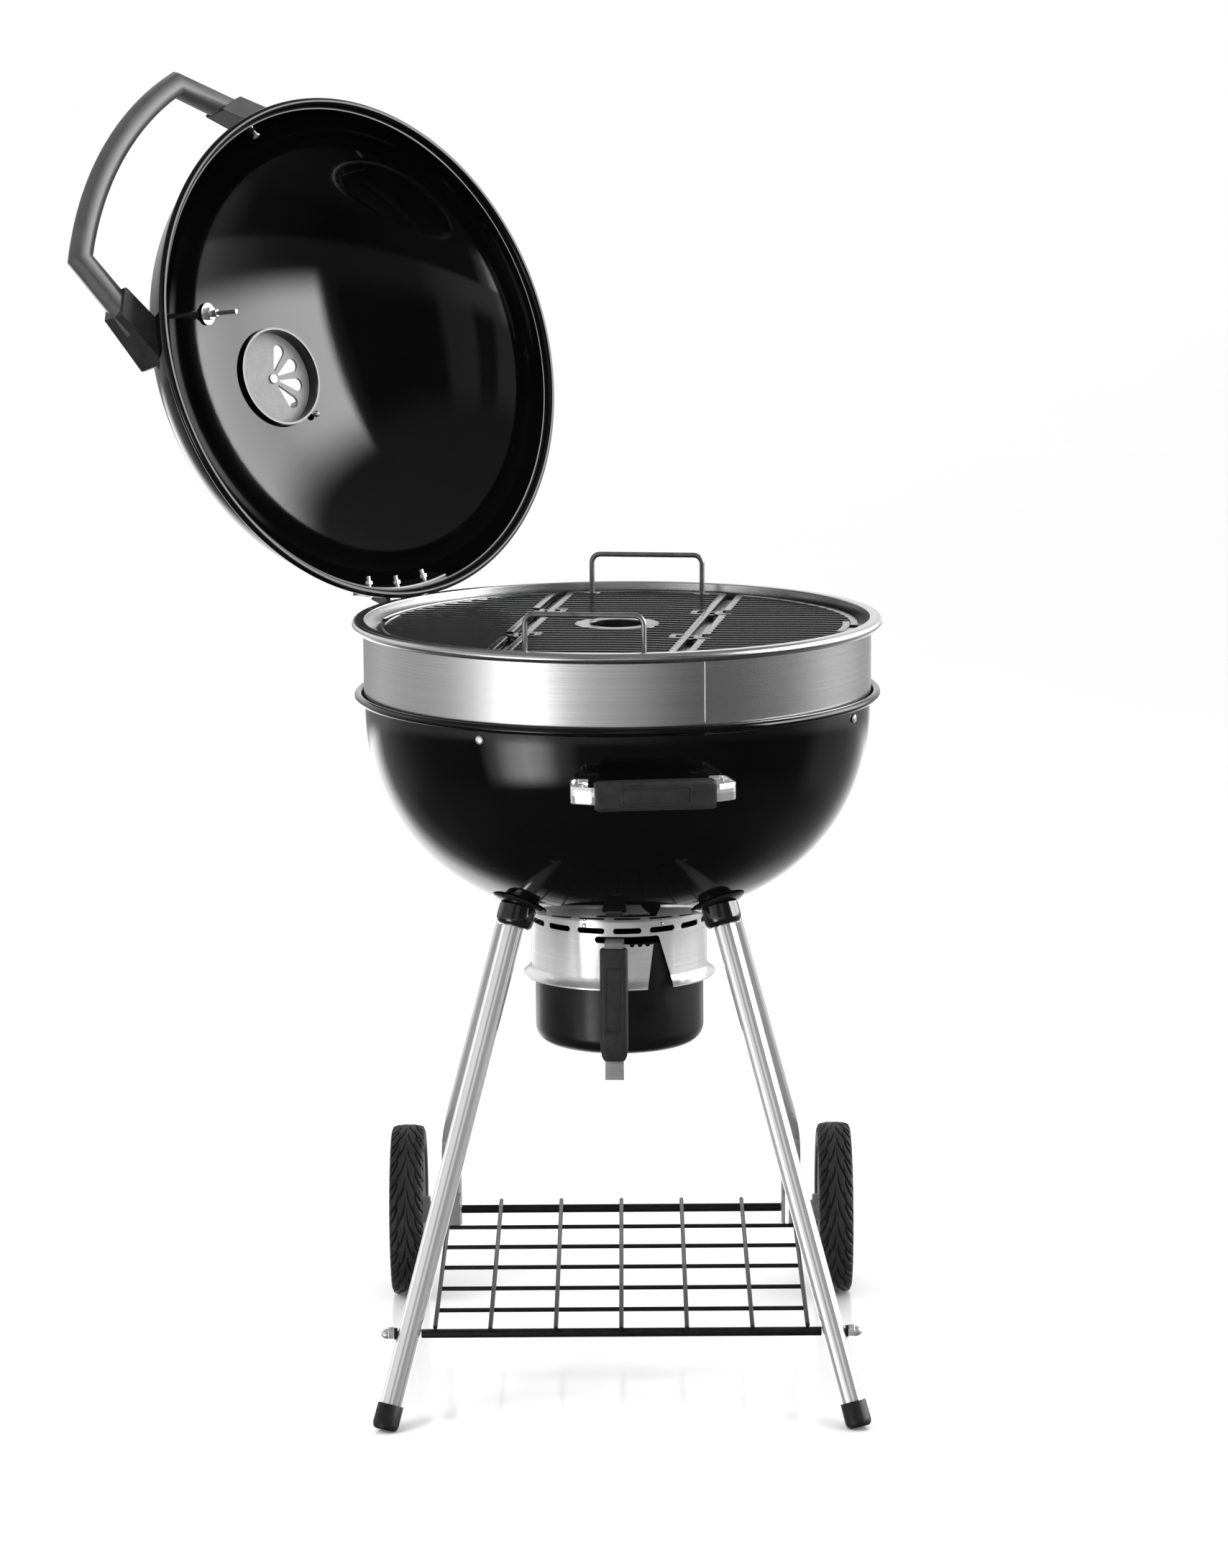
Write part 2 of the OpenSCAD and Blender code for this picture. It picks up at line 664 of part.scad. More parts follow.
module thermometer_case() color("silver") opened() gauge_spot() difference() {
    union() {
        translate([0, 0, 1.8]) cylinder(r = dial_r + 3, h = 12);
        translate([0, 0, -2]) cylinder(r = 5, h = 5, $fn = 48);
    }
    translate([0, 0, dial_z]) cylinder(r = dial_r, h = 20);
    translate([0, 0, -5]) cylinder(r = probe_r, h = 10, $fn = 32);
}

module thermometer_face() color("white") opened() gauge_spot() translate([0, 0, dial_z]) difference() {
    cylinder(r = dial_r, h = 1);
    translate([0, 0, -1]) cylinder(r = probe_r, h = 4, $fn = 32);
}

module thermometer_glass() color("lightblue") opened() gauge_spot()
    translate([0, 0, 11.4]) cylinder(r = dial_r, h = 1.8);

module thermometer_needle() color("red") opened() gauge_spot()
    translate([0, 0, 8.2]) rotate([0, 0, 225]) {
        cylinder(r = 4, h = 1, $fn = 48);
        linear_extrude(1) polygon([[-10, -1.8], [24, -0.4], [24, 0.4], [-10, 1.8]]);
    }

module thermometer_probe() color("silver") opened() gauge_spot()
    translate([0, 0, -46]) cylinder(r = probe_r, h = 53.4, $fn = 32);

module probe_nut() color("silver") opened() gauge_spot() difference() {
    union() {
        translate([0, 0, -4.6]) cylinder(r = 13, h = 1.4, $fn = 48);
        translate([0, 0, -10.6]) cylinder(r = 8, h = 6, $fn = 6);
        translate([0, 0, -18]) cylinder(r = 4.4, h = 8, $fn = 32);
    }
    translate([0, 0, -20]) cylinder(r = probe_r, h = 20, $fn = 32);
}

/* ---------- trolley ---------- */

axle_r = 5;
stud_r = 3;

// Mirrors a piece from the quarter +X +Y to another quarter
module four(x, y) mirror([x < 0 ? 1 : 0, 0, 0]) mirror([0, y > 0 ? 0 : 1, 0]) children();

socket_turn = atan2(leg_top[0], leg_top[1]);
socket_r = norm([leg_top[0], leg_top[1]]);

// Cup for the top of a leg, in the quarter +X +Y; foot is the far end of the leg's line
module socket(foot) difference() {
    union() {
        intersection() {
            along(leg_top, foot) rotate_extrude()
                polygon([[0, -30], [21.5, -30], [21.5, 15], [20, 20], [16, 22.5], [0, 23]]);
            translate([-400, -400, 500]) cube([800, 800, 120]);
        }
        rotate([0, 0, 180 - socket_turn]) translate([0, -socket_r, leg_top[2]]) rotate([150, 0, 0]) {
            translate([0, 0, -14]) cylinder(r1 = 31, r2 = 25, h = 14);
            translate([0, 0, -3.5]) cylinder(r = 29, h = 2.4);
        }
    }
    bowl_solid();
    along(leg_top, foot) cylinder(r = leg_r, h = 60);
    translate([0, 0, 400]) cylinder(r = collar_r + 3, h = 200);
}

module straight_leg() difference() {
    tube(leg_top, front_foot);
    bar_line(stud_r);
    bowl_solid();
}

rear_dir = unit(rear_bend - leg_top);
leg_bottom = 84;
leg_wall = 1.5;

module tube(a, b) difference() {
    rod(a, b, leg_r);
    rod(a - unit(b - a), b + unit(b - a), leg_r - leg_wall);
}

// Rear leg: slants out behind the bowl, then turns upright over a ball at the bend and ends at the
// axle. It is hollow along its two straight stretches.
module bent_leg() difference() {
    union() {
        rod(leg_top, rear_bend, leg_r);
        translate(rear_bend) sphere(leg_r + 0.4);
        rod([rear_bend[0], rear_bend[1], leg_bottom], rear_bend, leg_r);
    }
    rod(leg_top - 5 * rear_dir, rear_bend - 25 * rear_dir, leg_r - leg_wall);
    rod([rear_bend[0], rear_bend[1], leg_bottom - 1], rear_bend - [0, 0, 25], leg_r - leg_wall);
    translate([0, axle_y, wheel_r]) rotate([0, 90, 0]) cylinder(r = axle_r, h = 400, $fn = 48);
    bowl_solid();
}

module socket_front_left() color("black") four(-1, -1) socket(front_foot);
module socket_front_right() color("black") four(1, -1) socket(front_foot);
module socket_rear_left() color("black") four(-1, 1) socket(rear_bend);
module socket_rear_right() color("black") four(1, 1) socket(rear_bend);
module leg_front_left() color("silver") four(-1, -1) straight_leg();
module leg_front_right() color("silver") four(1, -1) straight_leg();
module leg_rear_left() color("silver") four(-1, 1) bent_leg();
module leg_rear_right() color("silver") four(1, 1) bent_leg();

// Rubber cap on a front leg, worn flat where it stands
module foot_cap() difference() {
    along(front_foot, leg_top) rotate_extrude() polygon([[0, -4], [10, -4], [13, -2.6], [14.6, 1],
        [14.4, 24], [leg_r, 24], [leg_r, 0], [0, 0]]);
    translate([0, 0, -100]) cylinder(r = 1000, h = 100);
}

module foot_cap_left() color("black") four(-1, -1) foot_cap();
module foot_cap_right() color("black") four(1, -1) foot_cap();

bar_r = 5;
wire_r = 2.5;
leg_side_x = leg_top[0] + (front_foot[0] - leg_top[0])
    * (leg_top[2] - shelf_z) / (leg_top[2] - front_foot[2]);
stud_end = leg_side_x + 23;
bar_end = leg_side_x - 13.6;

module bar_line(r) translate([-stud_end, shelf_y, shelf_z]) rotate([0, 90, 0])
    cylinder(r = r, h = 2 * stud_end, $fn = 48);

module shelf_front_bar() color("black") four(1, -1) {
    translate([-bar_end, shelf_y, shelf_z]) rotate([0, 90, 0])
        cylinder(r = bar_r, h = 2 * bar_end, $fn = 48);
    difference() {
        bar_line(stud_r);
        cube([400, 1000, 400], center = true);
    }
}

wire_count = 5;
wire_columns = [-205, -144.2, -72.1, 0, 72.1, 144.2, 205];

module shelf_wires() color("black") {
    pitch = (axle_y + shelf_y) / (wire_count + 1);
    for (i = [1:wire_count]) translate([-207, -shelf_y + i * pitch, shelf_z + 1]) rotate([0, 90, 0])
        cylinder(r = wire_r, h = 414, $fn = 32);
    for (x = wire_columns) {
        front = abs(x) > 200 ? 0 : 9;
        rear = abs(x) > 180 ? -25 : 10;
        wire_z = shelf_z + bar_r + wire_r;
        translate([x, -shelf_y - front, wire_z]) rotate([-90, 0, 0])
            cylinder(r = wire_r, h = shelf_y + axle_y + front + rear, $fn = 32);
        for (y = [-shelf_y - front, axle_y + rear]) translate([x, y, wire_z]) sphere(wire_r, $fn = 32);
    }
    for (i = [1:wire_count]) for (x = wire_columns)
        translate([x, -shelf_y + i * pitch, shelf_z + 1]) cylinder(r = 1.5, h = bar_r, $fn = 16);
}

module axle() color("dimgray") translate([-272, axle_y, wheel_r]) rotate([0, 90, 0])
    cylinder(r = axle_r, h = 544, $fn = 48);

module axle_spacers() color("gray") for (side = [-1, 1]) translate([side * 222.3, axle_y, wheel_r])
    rotate([0, 90, 0]) difference() {
        cylinder(r = 9, h = 12.6, center = true, $fn = 48);
        cylinder(r = axle_r, h = 20, center = true, $fn = 48);
    }

// Dome nut along +Z on a stud of radius r
module acorn(r) difference() {
    union() {
        cylinder(r = 7.6, h = 6.5, $fn = 6);
        translate([0, 0, 6.5]) rotate_extrude($fn = 48)
            polygon([[0, 0], [6, 0], [6, 3], [4.6, 6.2], [2.4, 8], [0, 8.4]]);
    }
    translate([0, 0, -1]) cylinder(r = r, h = 9, $fn = 32);
}

module acorn_nuts() color("silver") for (side = [-1, 1]) {
    translate([side * (leg_side_x + 16), -shelf_y, shelf_z]) rotate([0, side * 90, 0]) acorn(stud_r);
    translate([side * 264.5, axle_y, wheel_r]) rotate([0, side * 90, 0]) difference() {
        cylinder(r = 8.5, h = 7.5, $fn = 6);
        translate([0, 0, -1]) cylinder(r = axle_r, h = 20, $fn = 48);
    }
}

module wheel_place(side)
    translate([side * wheel_in, axle_y, wheel_r]) rotate([0, side * 90, 0]) children();

tyre_seat = 78;        // radius where the tyre sits on its wheel

module tyre() rotate_extrude($fn = 120) polygon([[tyre_seat, 3], [84, 0], [95, 0], [99.5, 2], [101.6, 8],
    [wheel_r, 20], [101.6, 32], [99.5, 38], [95, 40], [84, 40], [tyre_seat, 37]]);

module wheel_disc() difference() {
    rotate_extrude() polygon([[0, -6], [16, -6], [16, 10], [30, 16], [70, 16], [73, 4], [tyre_seat, 3],
        [tyre_seat, 37], [73, 36], [70, 24], [30, 24], [16, 29], [0, 29]]);
    translate([0, 0, -10]) cylinder(r = axle_r + running, h = 60, $fn = 48);
}

module tyre_left() color("black") wheel_place(-1) tyre();
module tyre_right() color("black") wheel_place(1) tyre();
module wheel_left() color("gray") wheel_place(-1) wheel_disc();
module wheel_right() color("gray") wheel_place(1) wheel_disc();

place() bowl();
place() bowl_screws();
place() steel_band();
place() grate_ledge();
place() charcoal_grate();
place() cooking_grate();
place() grate_leaf_left();
place() grate_leaf_right();
place() grate_pins();
place() grate_handle_front();
place() grate_handle_rear();
place() ash_collar();
place() collar_rivets();
place() ash_pot();
place() ash_strap();
place() ash_grip();
place() bowl_handle_strap();
place() bowl_handle_grip();
place() bowl_handle_screws();
place() band_hinge_bracket();
place() band_hinge_bolts();
place() hinge_pin();
place() lid_shell();
place() vent_collar();
place() vent_plate();
place() vent_damper();
place() damper_knob();
place() lid_handle();
place() handle_boot_left();
place() handle_boot_right();
place() handle_screws();
place() lid_hinge_bracket();
place() hinge_backing_plate();
place() hinge_bolts();
place() lid_peg();
place() thermometer_case();
place() thermometer_glass();
place() thermometer_face();
place() thermometer_needle();
place() thermometer_probe();
place() probe_nut();
place() socket_front_left();
place() socket_front_right();
place() socket_rear_left();
place() socket_rear_right();
place() leg_front_left();
place() leg_front_right();
place() leg_rear_left();
place() leg_rear_right();
place() foot_cap_left();
place() foot_cap_right();
place() shelf_front_bar();
place() shelf_wires();
place() axle();
place() axle_spacers();
place() acorn_nuts();
place() tyre_left();
place() tyre_right();
place() wheel_left();
place() wheel_right();
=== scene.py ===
"""Kettle charcoal grill, lid open: the looks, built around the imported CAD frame.

Lengths are in millimetres about the kettle's own axis, as in the part's source. build() turns them
into metres in the shared frame. Lid pieces are made closed, and OPENED takes them to the open lid.
"""
import json
from math import acos, asin, atan2, ceil, cos, degrees, pi, radians, sin, sqrt, tan

import bmesh
import bpy
from mathutils import Matrix, Vector

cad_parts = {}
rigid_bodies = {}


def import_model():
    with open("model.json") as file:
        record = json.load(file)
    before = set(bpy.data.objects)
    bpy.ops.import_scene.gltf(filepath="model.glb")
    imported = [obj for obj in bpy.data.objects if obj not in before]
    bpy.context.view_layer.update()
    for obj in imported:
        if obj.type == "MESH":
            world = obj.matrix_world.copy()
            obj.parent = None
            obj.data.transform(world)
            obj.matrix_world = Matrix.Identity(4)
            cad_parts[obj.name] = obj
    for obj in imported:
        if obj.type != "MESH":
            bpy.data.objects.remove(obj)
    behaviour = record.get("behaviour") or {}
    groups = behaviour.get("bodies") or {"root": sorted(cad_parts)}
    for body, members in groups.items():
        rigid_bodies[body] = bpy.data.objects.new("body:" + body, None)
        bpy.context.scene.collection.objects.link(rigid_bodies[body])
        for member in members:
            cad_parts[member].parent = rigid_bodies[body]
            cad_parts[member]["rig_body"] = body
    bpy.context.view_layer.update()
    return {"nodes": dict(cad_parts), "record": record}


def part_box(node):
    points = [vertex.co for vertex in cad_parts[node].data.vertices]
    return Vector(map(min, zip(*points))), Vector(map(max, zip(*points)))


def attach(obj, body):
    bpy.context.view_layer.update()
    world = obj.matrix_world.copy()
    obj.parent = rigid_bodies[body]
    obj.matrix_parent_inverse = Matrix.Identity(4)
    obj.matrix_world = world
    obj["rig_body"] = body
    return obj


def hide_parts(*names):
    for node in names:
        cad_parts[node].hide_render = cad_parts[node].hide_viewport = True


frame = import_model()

MM = 0.001
JOINTS = {joint["name"]: joint for joint in frame["record"]["behaviour"]["joints"]}

# ---------------------------------------------------------------- places

bowl_low, bowl_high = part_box("bowl")
AXIS = Vector(((bowl_low.x + bowl_high.x) / 2, (bowl_low.y + bowl_high.y) / 2, 0))
KETTLE = Matrix.Translation(AXIS)


def turned(axis, angle):
    return Matrix.Rotation(radians(angle), 4, axis)


def moved(x, y, z):
    return Matrix.Translation((x, y, z))


def lid_opening():
    """The move that takes the closed lid to the angle it stands open at."""
    joint = JOINTS["lid_hinge"]
    pin = Matrix.Translation(joint["pos_m"])
    return pin @ Matrix.Rotation(-radians(joint["range_deg"][0]), 4, Vector(joint["axis"])) @ pin.inverted()


OPENED = lid_opening() @ KETTLE

BOWL_R, BOWL_TOP, BOWL_DEPTH, BOWL_CURVE = 285, 768.85, 252, 2.24
BAND_R, BAND_HALF_WALL, BEAD_Z, BEAD_R, BOWL_BEAD_R = 286, 1.5, 774.6, 4.5, 292
BAND_SEAM = -90 + 19.4
RING_R, RING_CENTRE_R, RING_Z = 5.7, 292.8, 855.1
SHEET, ASH_HOLE_R, VENT_HOLE_R = 1.6, 78, 59
LID_R, LID_H, LID_Z, LID_BEAD_R = 289, 160, 865.3, 295.4
VENT_Z = LID_Z + 168.4
GAUGE_R, GAUGE_TURN, GAUGE_TILT = 131.5, -7.2, 15.8
GAUGE_Z = LID_Z + LID_H * sqrt(1 - (GAUGE_R / LID_R) ** 2)
GRATE_R, GRATE_TOP, GRATE_T, GRATE_TURN, RIB_PITCH = 271.5, 852, 11.5, -8, 17.5
GRATE_LOW = GRATE_TOP - GRATE_T
BAR_HALF, CENTRE_HALF, LEAF_START = 4.5, 94, 106
FRAME_R = GRATE_R - BAR_HALF
EMBLEM_R, EMBLEM_BORE, EMBLEM_REACH = 48, 31, 44
LEAF_X, KNUCKLE_Y, KNUCKLE_R, POST_X, POST_Y = 102, 95, 5.7, 65, 252
POT_R, POT_Z, POT_ROUND, POT_WALL, STRAP_TURN, SLOT_Z = 95.7, 373, 20, 1.2, -2.9, 508
STRAP_Y, ASH_GRIP_W, ASH_GRIP_T = -117.6, 31.5, 13
HANDLE_TURN, HANDLE_Z, HANDLE_Y = 7, 713, -330
GRIP_LINE_R = 1.0
LEG_R, SHELF_Z, WHEEL_R, WHEEL_X, AXLE_Y = 12.25, 102, 102, 255, 282.5
TYRE_HALF, TREAD_DEPTH, TREAD_BLOCKS = 18.8, 2.8, 22
LEG_TOP = Vector((112, 127, 552))
FRONT_FOOT = Vector((260, 300, 6))
REAR_BEND = Vector((203, AXLE_Y, 196))
LEG_BOTTOM = 84
SHELF_SHARE = (LEG_TOP.z - SHELF_Z) / (LEG_TOP.z - FRONT_FOOT.z)
SHELF_Y = LEG_TOP.y + (FRONT_FOOT.y - LEG_TOP.y) * SHELF_SHARE
LEG_X = LEG_TOP.x + (FRONT_FOOT.x - LEG_TOP.x) * SHELF_SHARE


def outward(turn, r, z, tilt=90):
    """Looks away from the kettle's axis: local +Z points outward, at an angle from the front."""
    return turned("Z", turn) @ moved(0, -r, z) @ turned("X", tilt)


def along(a, b):
    """Puts local +Z on the line from a to b."""
    d = Vector(b) - Vector(a)
    return moved(*a) @ turned("Z", degrees(atan2(d.y, d.x))) @ turned("Y", degrees(acos(d.z / d.length)))


# ---------------------------------------------------------------- shapes

def arch(r, h, n, hole):
    """Quarter super-ellipse from (r, 0) up to the radius of its hole."""
    steps = 72
    end = acos((hole / r) ** (n / 2))
    turns = [end * i / steps for i in range(steps + 1)]
    return [(r * cos(turn) ** (2 / n), h * sin(turn) ** (2 / n)) for turn in turns]


def arc(cx, cy, r, start, end, steps=20):
    """Points of an arc from start to end degrees."""
    return [(cx + r * cos(radians(start + (end - start) * i / steps)),
             cy + r * sin(radians(start + (end - start) * i / steps))) for i in range(steps + 1)]


def lathe(profile, around=192, closed=True, angles=None, shift=None):
    """Turns (r, z) points about Z; shift(angle, r, z) may move a point's radius and height."""
    turns = angles or [360 * i / around for i in range(around)]
    count = len(profile)
    verts = []
    for turn in turns:
        for r, z in profile:
            if shift:
                r, z = shift(turn, r, z)
            verts.append((r * cos(radians(turn)), r * sin(radians(turn)), z))
    faces = []
    rows = len(turns)
    for i in range(rows):
        for j in range(count if closed else count - 1):
            k = (j + 1) % count
            n = (i + 1) % rows
            faces.append((i * count + j, n * count + j, n * count + k, i * count + k))
    return verts, faces


def fillet(points, radius, steps=8):
    """Rounds the inner corners of a line of points."""
    points = [Vector(p) for p in points]
    result = [points[0]]
    for a, b, c in zip(points, points[1:], points[2:]):
        into, out = (a - b).normalized(), (c - b).normalized()
        half = into.angle(out) / 2
        back = min(radius / tan(half), 0.49 * (a - b).length, 0.49 * (c - b).length)
        centre = b + (into + out).normalized() * back / cos(half)
        start, end = b + into * back - centre, b + out * back - centre
        result += [centre + start.slerp(end, i / steps) * start.length for i in range(steps + 1)]
    return result + [points[-1]]


def sweep(path, section, normal, loop=False, scales=None):
    """Carries a section along a path, mitred at its corners. normal is the section's first axis."""
    path = [Vector(p) for p in path]
    count, size = len(path), len(section)
    verts = []
    n = Vector(normal)
    for i, p in enumerate(path):
        before = path[i - 1] if i or loop else None
        after = path[(i + 1) % count] if i < count - 1 or loop else None
        d_in = (p - before).normalized() if before else (after - p).normalized()
        d_out = (after - p).normalized() if after else d_in
        n = (n - d_in * n.dot(d_in)).normalized()
        side = d_in.cross(n)
        middle = (d_in + d_out).normalized()
        scale = scales[i] if scales else 1
        for a, b in section:
            q = (n * a + side * b) * scale
            verts.append(p + q - d_in * (q.dot(middle) / d_in.dot(middle)))
        n = d_in.rotation_difference(d_out) @ n
    faces = []
    for i in range(count if loop else count - 1):
        k = (i + 1) % count
        for j in range(size):
            m = (j + 1) % size
            faces.append((i * size + j, k * size + j, k * size + m, i * size + m))
    if not loop:
        faces += [tuple(range(size - 1, -1, -1)), tuple(range((count - 1) * size, count * size))]
    return verts, faces


def round_section(r, steps=24):
    return arc(0, 0, r, 0, 360, steps)[:-1]


def box_section(w, d, r, steps=5):
    """Rounded rectangle, centred."""
    points = []
    for x, y, start in ((1, 1, 0), (-1, 1, 90), (-1, -1, 180), (1, -1, 270)):
        points += arc(x * (w / 2 - r), y * (d / 2 - r), r, start, start + 90, steps)
    return points


def rod(a, b, r, steps=24):
    """Straight bar with softened ends."""
    a, b = Vector(a), Vector(b)
    d = (b - a).normalized()
    edge = r * 0.25
    path = [a, a + d * edge * 0.3, a + d * edge, b - d * edge, b - d * edge * 0.3, b]
    scales = [1 - edge / r, 1 - edge / r * 0.3, 1, 1, 1 - edge / r * 0.3, 1 - edge / r]
    return sweep(path, round_section(r, steps), d.orthogonal(), scales=scales)


def slab(outline, z0, z1, edge=0.8):
    """Extrudes a plan outline and softens the rim of its top and bottom."""
    count = len(outline)
    centre = Vector((sum(p[0] for p in outline) / count, sum(p[1] for p in outline) / count))
    rings = []
    for inset, z in ((edge, z0), (edge * 0.3, z0 + edge * 0.3), (0, z0 + edge), (0, z1 - edge),
                     (edge * 0.3, z1 - edge * 0.3), (edge, z1)):
        rings.append([(*(Vector(p) - (Vector(p) - centre).normalized() * inset), z) for p in outline])
    verts = [v for ring in rings for v in ring]
    faces = []
    for low in range(0, (len(rings) - 1) * count, count):
        for j in range(count):
            k = (j + 1) % count
            faces.append((low + j, low + k, low + count + k, low + count + j))
    faces += [tuple(range(count - 1, -1, -1)), tuple(range((len(rings) - 1) * count, len(rings) * count))]
    return verts, faces


def at(matrix, shape):
    """The shape moved by a matrix."""
    verts, faces = shape
    return [tuple(matrix @ Vector(v)) for v in verts], faces


def joined(*shapes):
    verts, faces = [], []
    for v, f in shapes:
        start = len(verts)
        verts += v
        faces += [tuple(i + start for i in face) for face in f]
    return verts, faces


def flipped(shape):
    """The shape mirrored from side to side."""
    verts, faces = shape
    return [(-v[0], v[1], v[2]) for v in verts], [tuple(reversed(face)) for face in faces]


def smoothed(mesh, angle):
    mesh.shade_smooth()
    mesh.set_sharp_from_angle(angle=radians(angle))


def build(name, shape, body, material, stands_for=(), place=None, angle=35):
    """Makes a piece from a shape in millimetres and ties it to its body."""
    verts, faces = shape
    mesh = bpy.data.meshes.new(name)
    mesh.from_pydata([Vector(v) * MM for v in verts], [], faces)
    work = bmesh.new()
    work.from_mesh(mesh)
    bmesh.ops.recalc_face_normals(work, faces=work.faces)
    work.to_mesh(mesh)
    work.free()
    smoothed(mesh, angle)
    return settle(bpy.data.objects.new(name, mesh), body, material, stands_for, place or KETTLE)


def settle(piece, body, material, stands_for, place):
    """Ties a piece to its body. A material that is drawn about its own axis keeps the piece's own frame."""
    bpy.context.scene.collection.objects.link(piece)
    piece.data.materials.clear()
    piece.data.materials.append(material)
    if material == VENT_STEEL:
        piece.matrix_world = place
    else:
        piece.data.transform(place)
    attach(piece, body)
    if stands_for:
        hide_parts(*stands_for)
    return piece


def softened(node, material, bevel, segments, place):
    """A copy of a CAD node whose sharp edges are rounded off, which then stands for it."""
    mesh = frame["nodes"][node].data.copy()
    mesh.transform(place.inverted())
    work = bmesh.new()
    work.from_mesh(mesh)
    bmesh.ops.remove_doubles(work, verts=work.verts, dist=1e-6)
    bmesh.ops.dissolve_limit(work, angle_limit=radians(1), verts=work.verts, edges=work.edges)
    sharp = [e for e in work.edges if len(e.link_faces) == 2 and e.calc_face_angle(0) > radians(32)]
    bmesh.ops.bevel(work, geom=sharp, offset=bevel * MM, offset_type="OFFSET", segments=segments, profile=0.5,
                    affect="EDGES", clamp_overlap=True)
    bmesh.ops.triangulate(work, faces=[f for f in work.faces if len(f.verts) > 4])
    work.to_mesh(mesh)
    work.free()
    mesh.name = node + "_soft"
    smoothed(mesh, 35)
    piece = bpy.data.objects.new(node + "_look", mesh)
    settle(piece, frame["nodes"][node]["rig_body"], material, (node,), place)
    piece.modifiers.new("weighted", "WEIGHTED_NORMAL").keep_sharp = True
    return piece


# ---------------------------------------------------------------- materials

def set_stops(ramp, stops):
    """Gives a colour ramp its (position, colour) stops."""
    elements = ramp.color_ramp.elements
    while len(elements) < len(stops):
        elements.new(0.5)
    for element, (position, colour) in zip(elements, stops):
        element.position = position
        element.color = (*colour, 1)


class Graph:
    """Short names for the nodes of one material."""

    def __init__(self, name):
        self.material = bpy.data.materials.new(name)
        self.material.use_nodes = True
        self.tree = self.material.node_tree
        self.shader = self.tree.nodes["Principled BSDF"]
        self.space = self.tree.nodes.new("ShaderNodeTexCoord").outputs["Object"]

    def link(self, a, b):
        self.tree.links.new(a, b)

    def noise(self, scale, detail, stretch=(1, 1, 1)):
        mapping = self.tree.nodes.new("ShaderNodeMapping")
        mapping.inputs["Scale"].default_value = stretch
        self.link(self.space, mapping.inputs["Vector"])
        node = self.tree.nodes.new("ShaderNodeTexNoise")
        node.inputs["Scale"].default_value = scale
        node.inputs["Detail"].default_value = detail
        node.inputs["Roughness"].default_value = 0.55
        self.link(mapping.outputs["Vector"], node.inputs["Vector"])
        return node.outputs["Fac"]

    def span(self, value, low, high, start=0.3, end=0.7):
        node = self.tree.nodes.new("ShaderNodeMapRange")
        node.inputs["From Min"].default_value = start
        node.inputs["From Max"].default_value = end
        node.inputs["To Min"].default_value = low
        node.inputs["To Max"].default_value = high
        self.link(value, node.inputs["Value"])
        return node.outputs["Result"]

    def math(self, kind, a, b):
        node = self.tree.nodes.new("ShaderNodeMath")
        node.operation = kind
        for socket, value in zip(node.inputs, (a, b)):
            if isinstance(value, (int, float)):
                socket.default_value = value
            else:
                self.link(value, socket)
        return node.outputs[0]

    def ramp(self, value, stops):
        node = self.tree.nodes.new("ShaderNodeValToRGB")
        set_stops(node, stops)
        self.link(value, node.inputs["Fac"])
        return node.outputs["Color"]

    def bump(self, value, depth_mm, below=None):
        node = self.tree.nodes.new("ShaderNodeBump")
        node.inputs["Strength"].default_value = 1
        node.inputs["Distance"].default_value = depth_mm * MM
        self.link(value, node.inputs["Height"])
        if below:
            self.link(below, node.inputs["Normal"])
        return node.outputs["Normal"]


def grey(v):
    return (v, v, v)


def finish(name, dark, light, patch, rough, grain, metal=0.0, stretch=(1, 1, 1), coat=0.0, second=None,
           anisotropy=0.0, specular=0.5):
    """A surface whose tone and roughness vary in patches, with a fine grain.

    patch is the scale of the patches and rough a (low, high) pair. grain, and second for a coarser
    relief below it, are (scale, depth in mm) pairs.
    """
    g = Graph(name)
    patches = g.noise(patch, 6, stretch)
    g.link(g.ramp(patches, [(0.3, grey(dark)), (0.7, grey(light))]), g.shader.inputs["Base Color"])
    fine = g.noise(grain[0], 3, stretch)
    mixed = g.math("ADD", g.math("MULTIPLY", patches, 0.6), g.math("MULTIPLY", fine, 0.4))
    g.link(g.span(mixed, *rough), g.shader.inputs["Roughness"])
    normal = g.bump(fine, grain[1])
    if second:
        normal = g.bump(g.noise(second[0], 2), second[1], normal)
    g.link(normal, g.shader.inputs["Normal"])
    g.shader.inputs["Metallic"].default_value = metal
    g.shader.inputs["Coat Weight"].default_value = coat
    g.shader.inputs["Coat Roughness"].default_value = 0.06
    g.shader.inputs["Specular IOR Level"].default_value = specular
    g.shader.inputs["Anisotropic"].default_value = anisotropy
    return g.material


def ringed(name, dark, light, rough, pitch):
    """Metal brushed in circles about its own Z axis."""
    g = Graph(name)
    parts = g.tree.nodes.new("ShaderNodeSeparateXYZ")
    g.link(g.space, parts.inputs[0])
    radius = g.math("SQRT", g.math("ADD", g.math("MULTIPLY", parts.outputs["X"], parts.outputs["X"]),
                                   g.math("MULTIPLY", parts.outputs["Y"], parts.outputs["Y"])), 0)
    wave = g.tree.nodes.new("ShaderNodeTexNoise")
    wave.noise_dimensions = "1D"
    wave.inputs["Scale"].default_value = 1 / (pitch * MM)
    wave.inputs["Detail"].default_value = 5
    g.link(radius, wave.inputs["W"])
    lines = g.math("ADD", g.math("MULTIPLY", wave.outputs["Fac"], 0.7),
                   g.math("MULTIPLY", g.noise(60, 4), 0.3))
    g.link(g.ramp(lines, [(0.35, grey(dark)), (0.65, grey(light))]), g.shader.inputs["Base Color"])
    g.link(g.span(lines, *rough), g.shader.inputs["Roughness"])
    g.link(g.bump(wave.outputs["Fac"], 0.04), g.shader.inputs["Normal"])
    g.shader.inputs["Metallic"].default_value = 0.04
    g.shader.inputs["Specular IOR Level"].default_value = 0.2
    return g.material


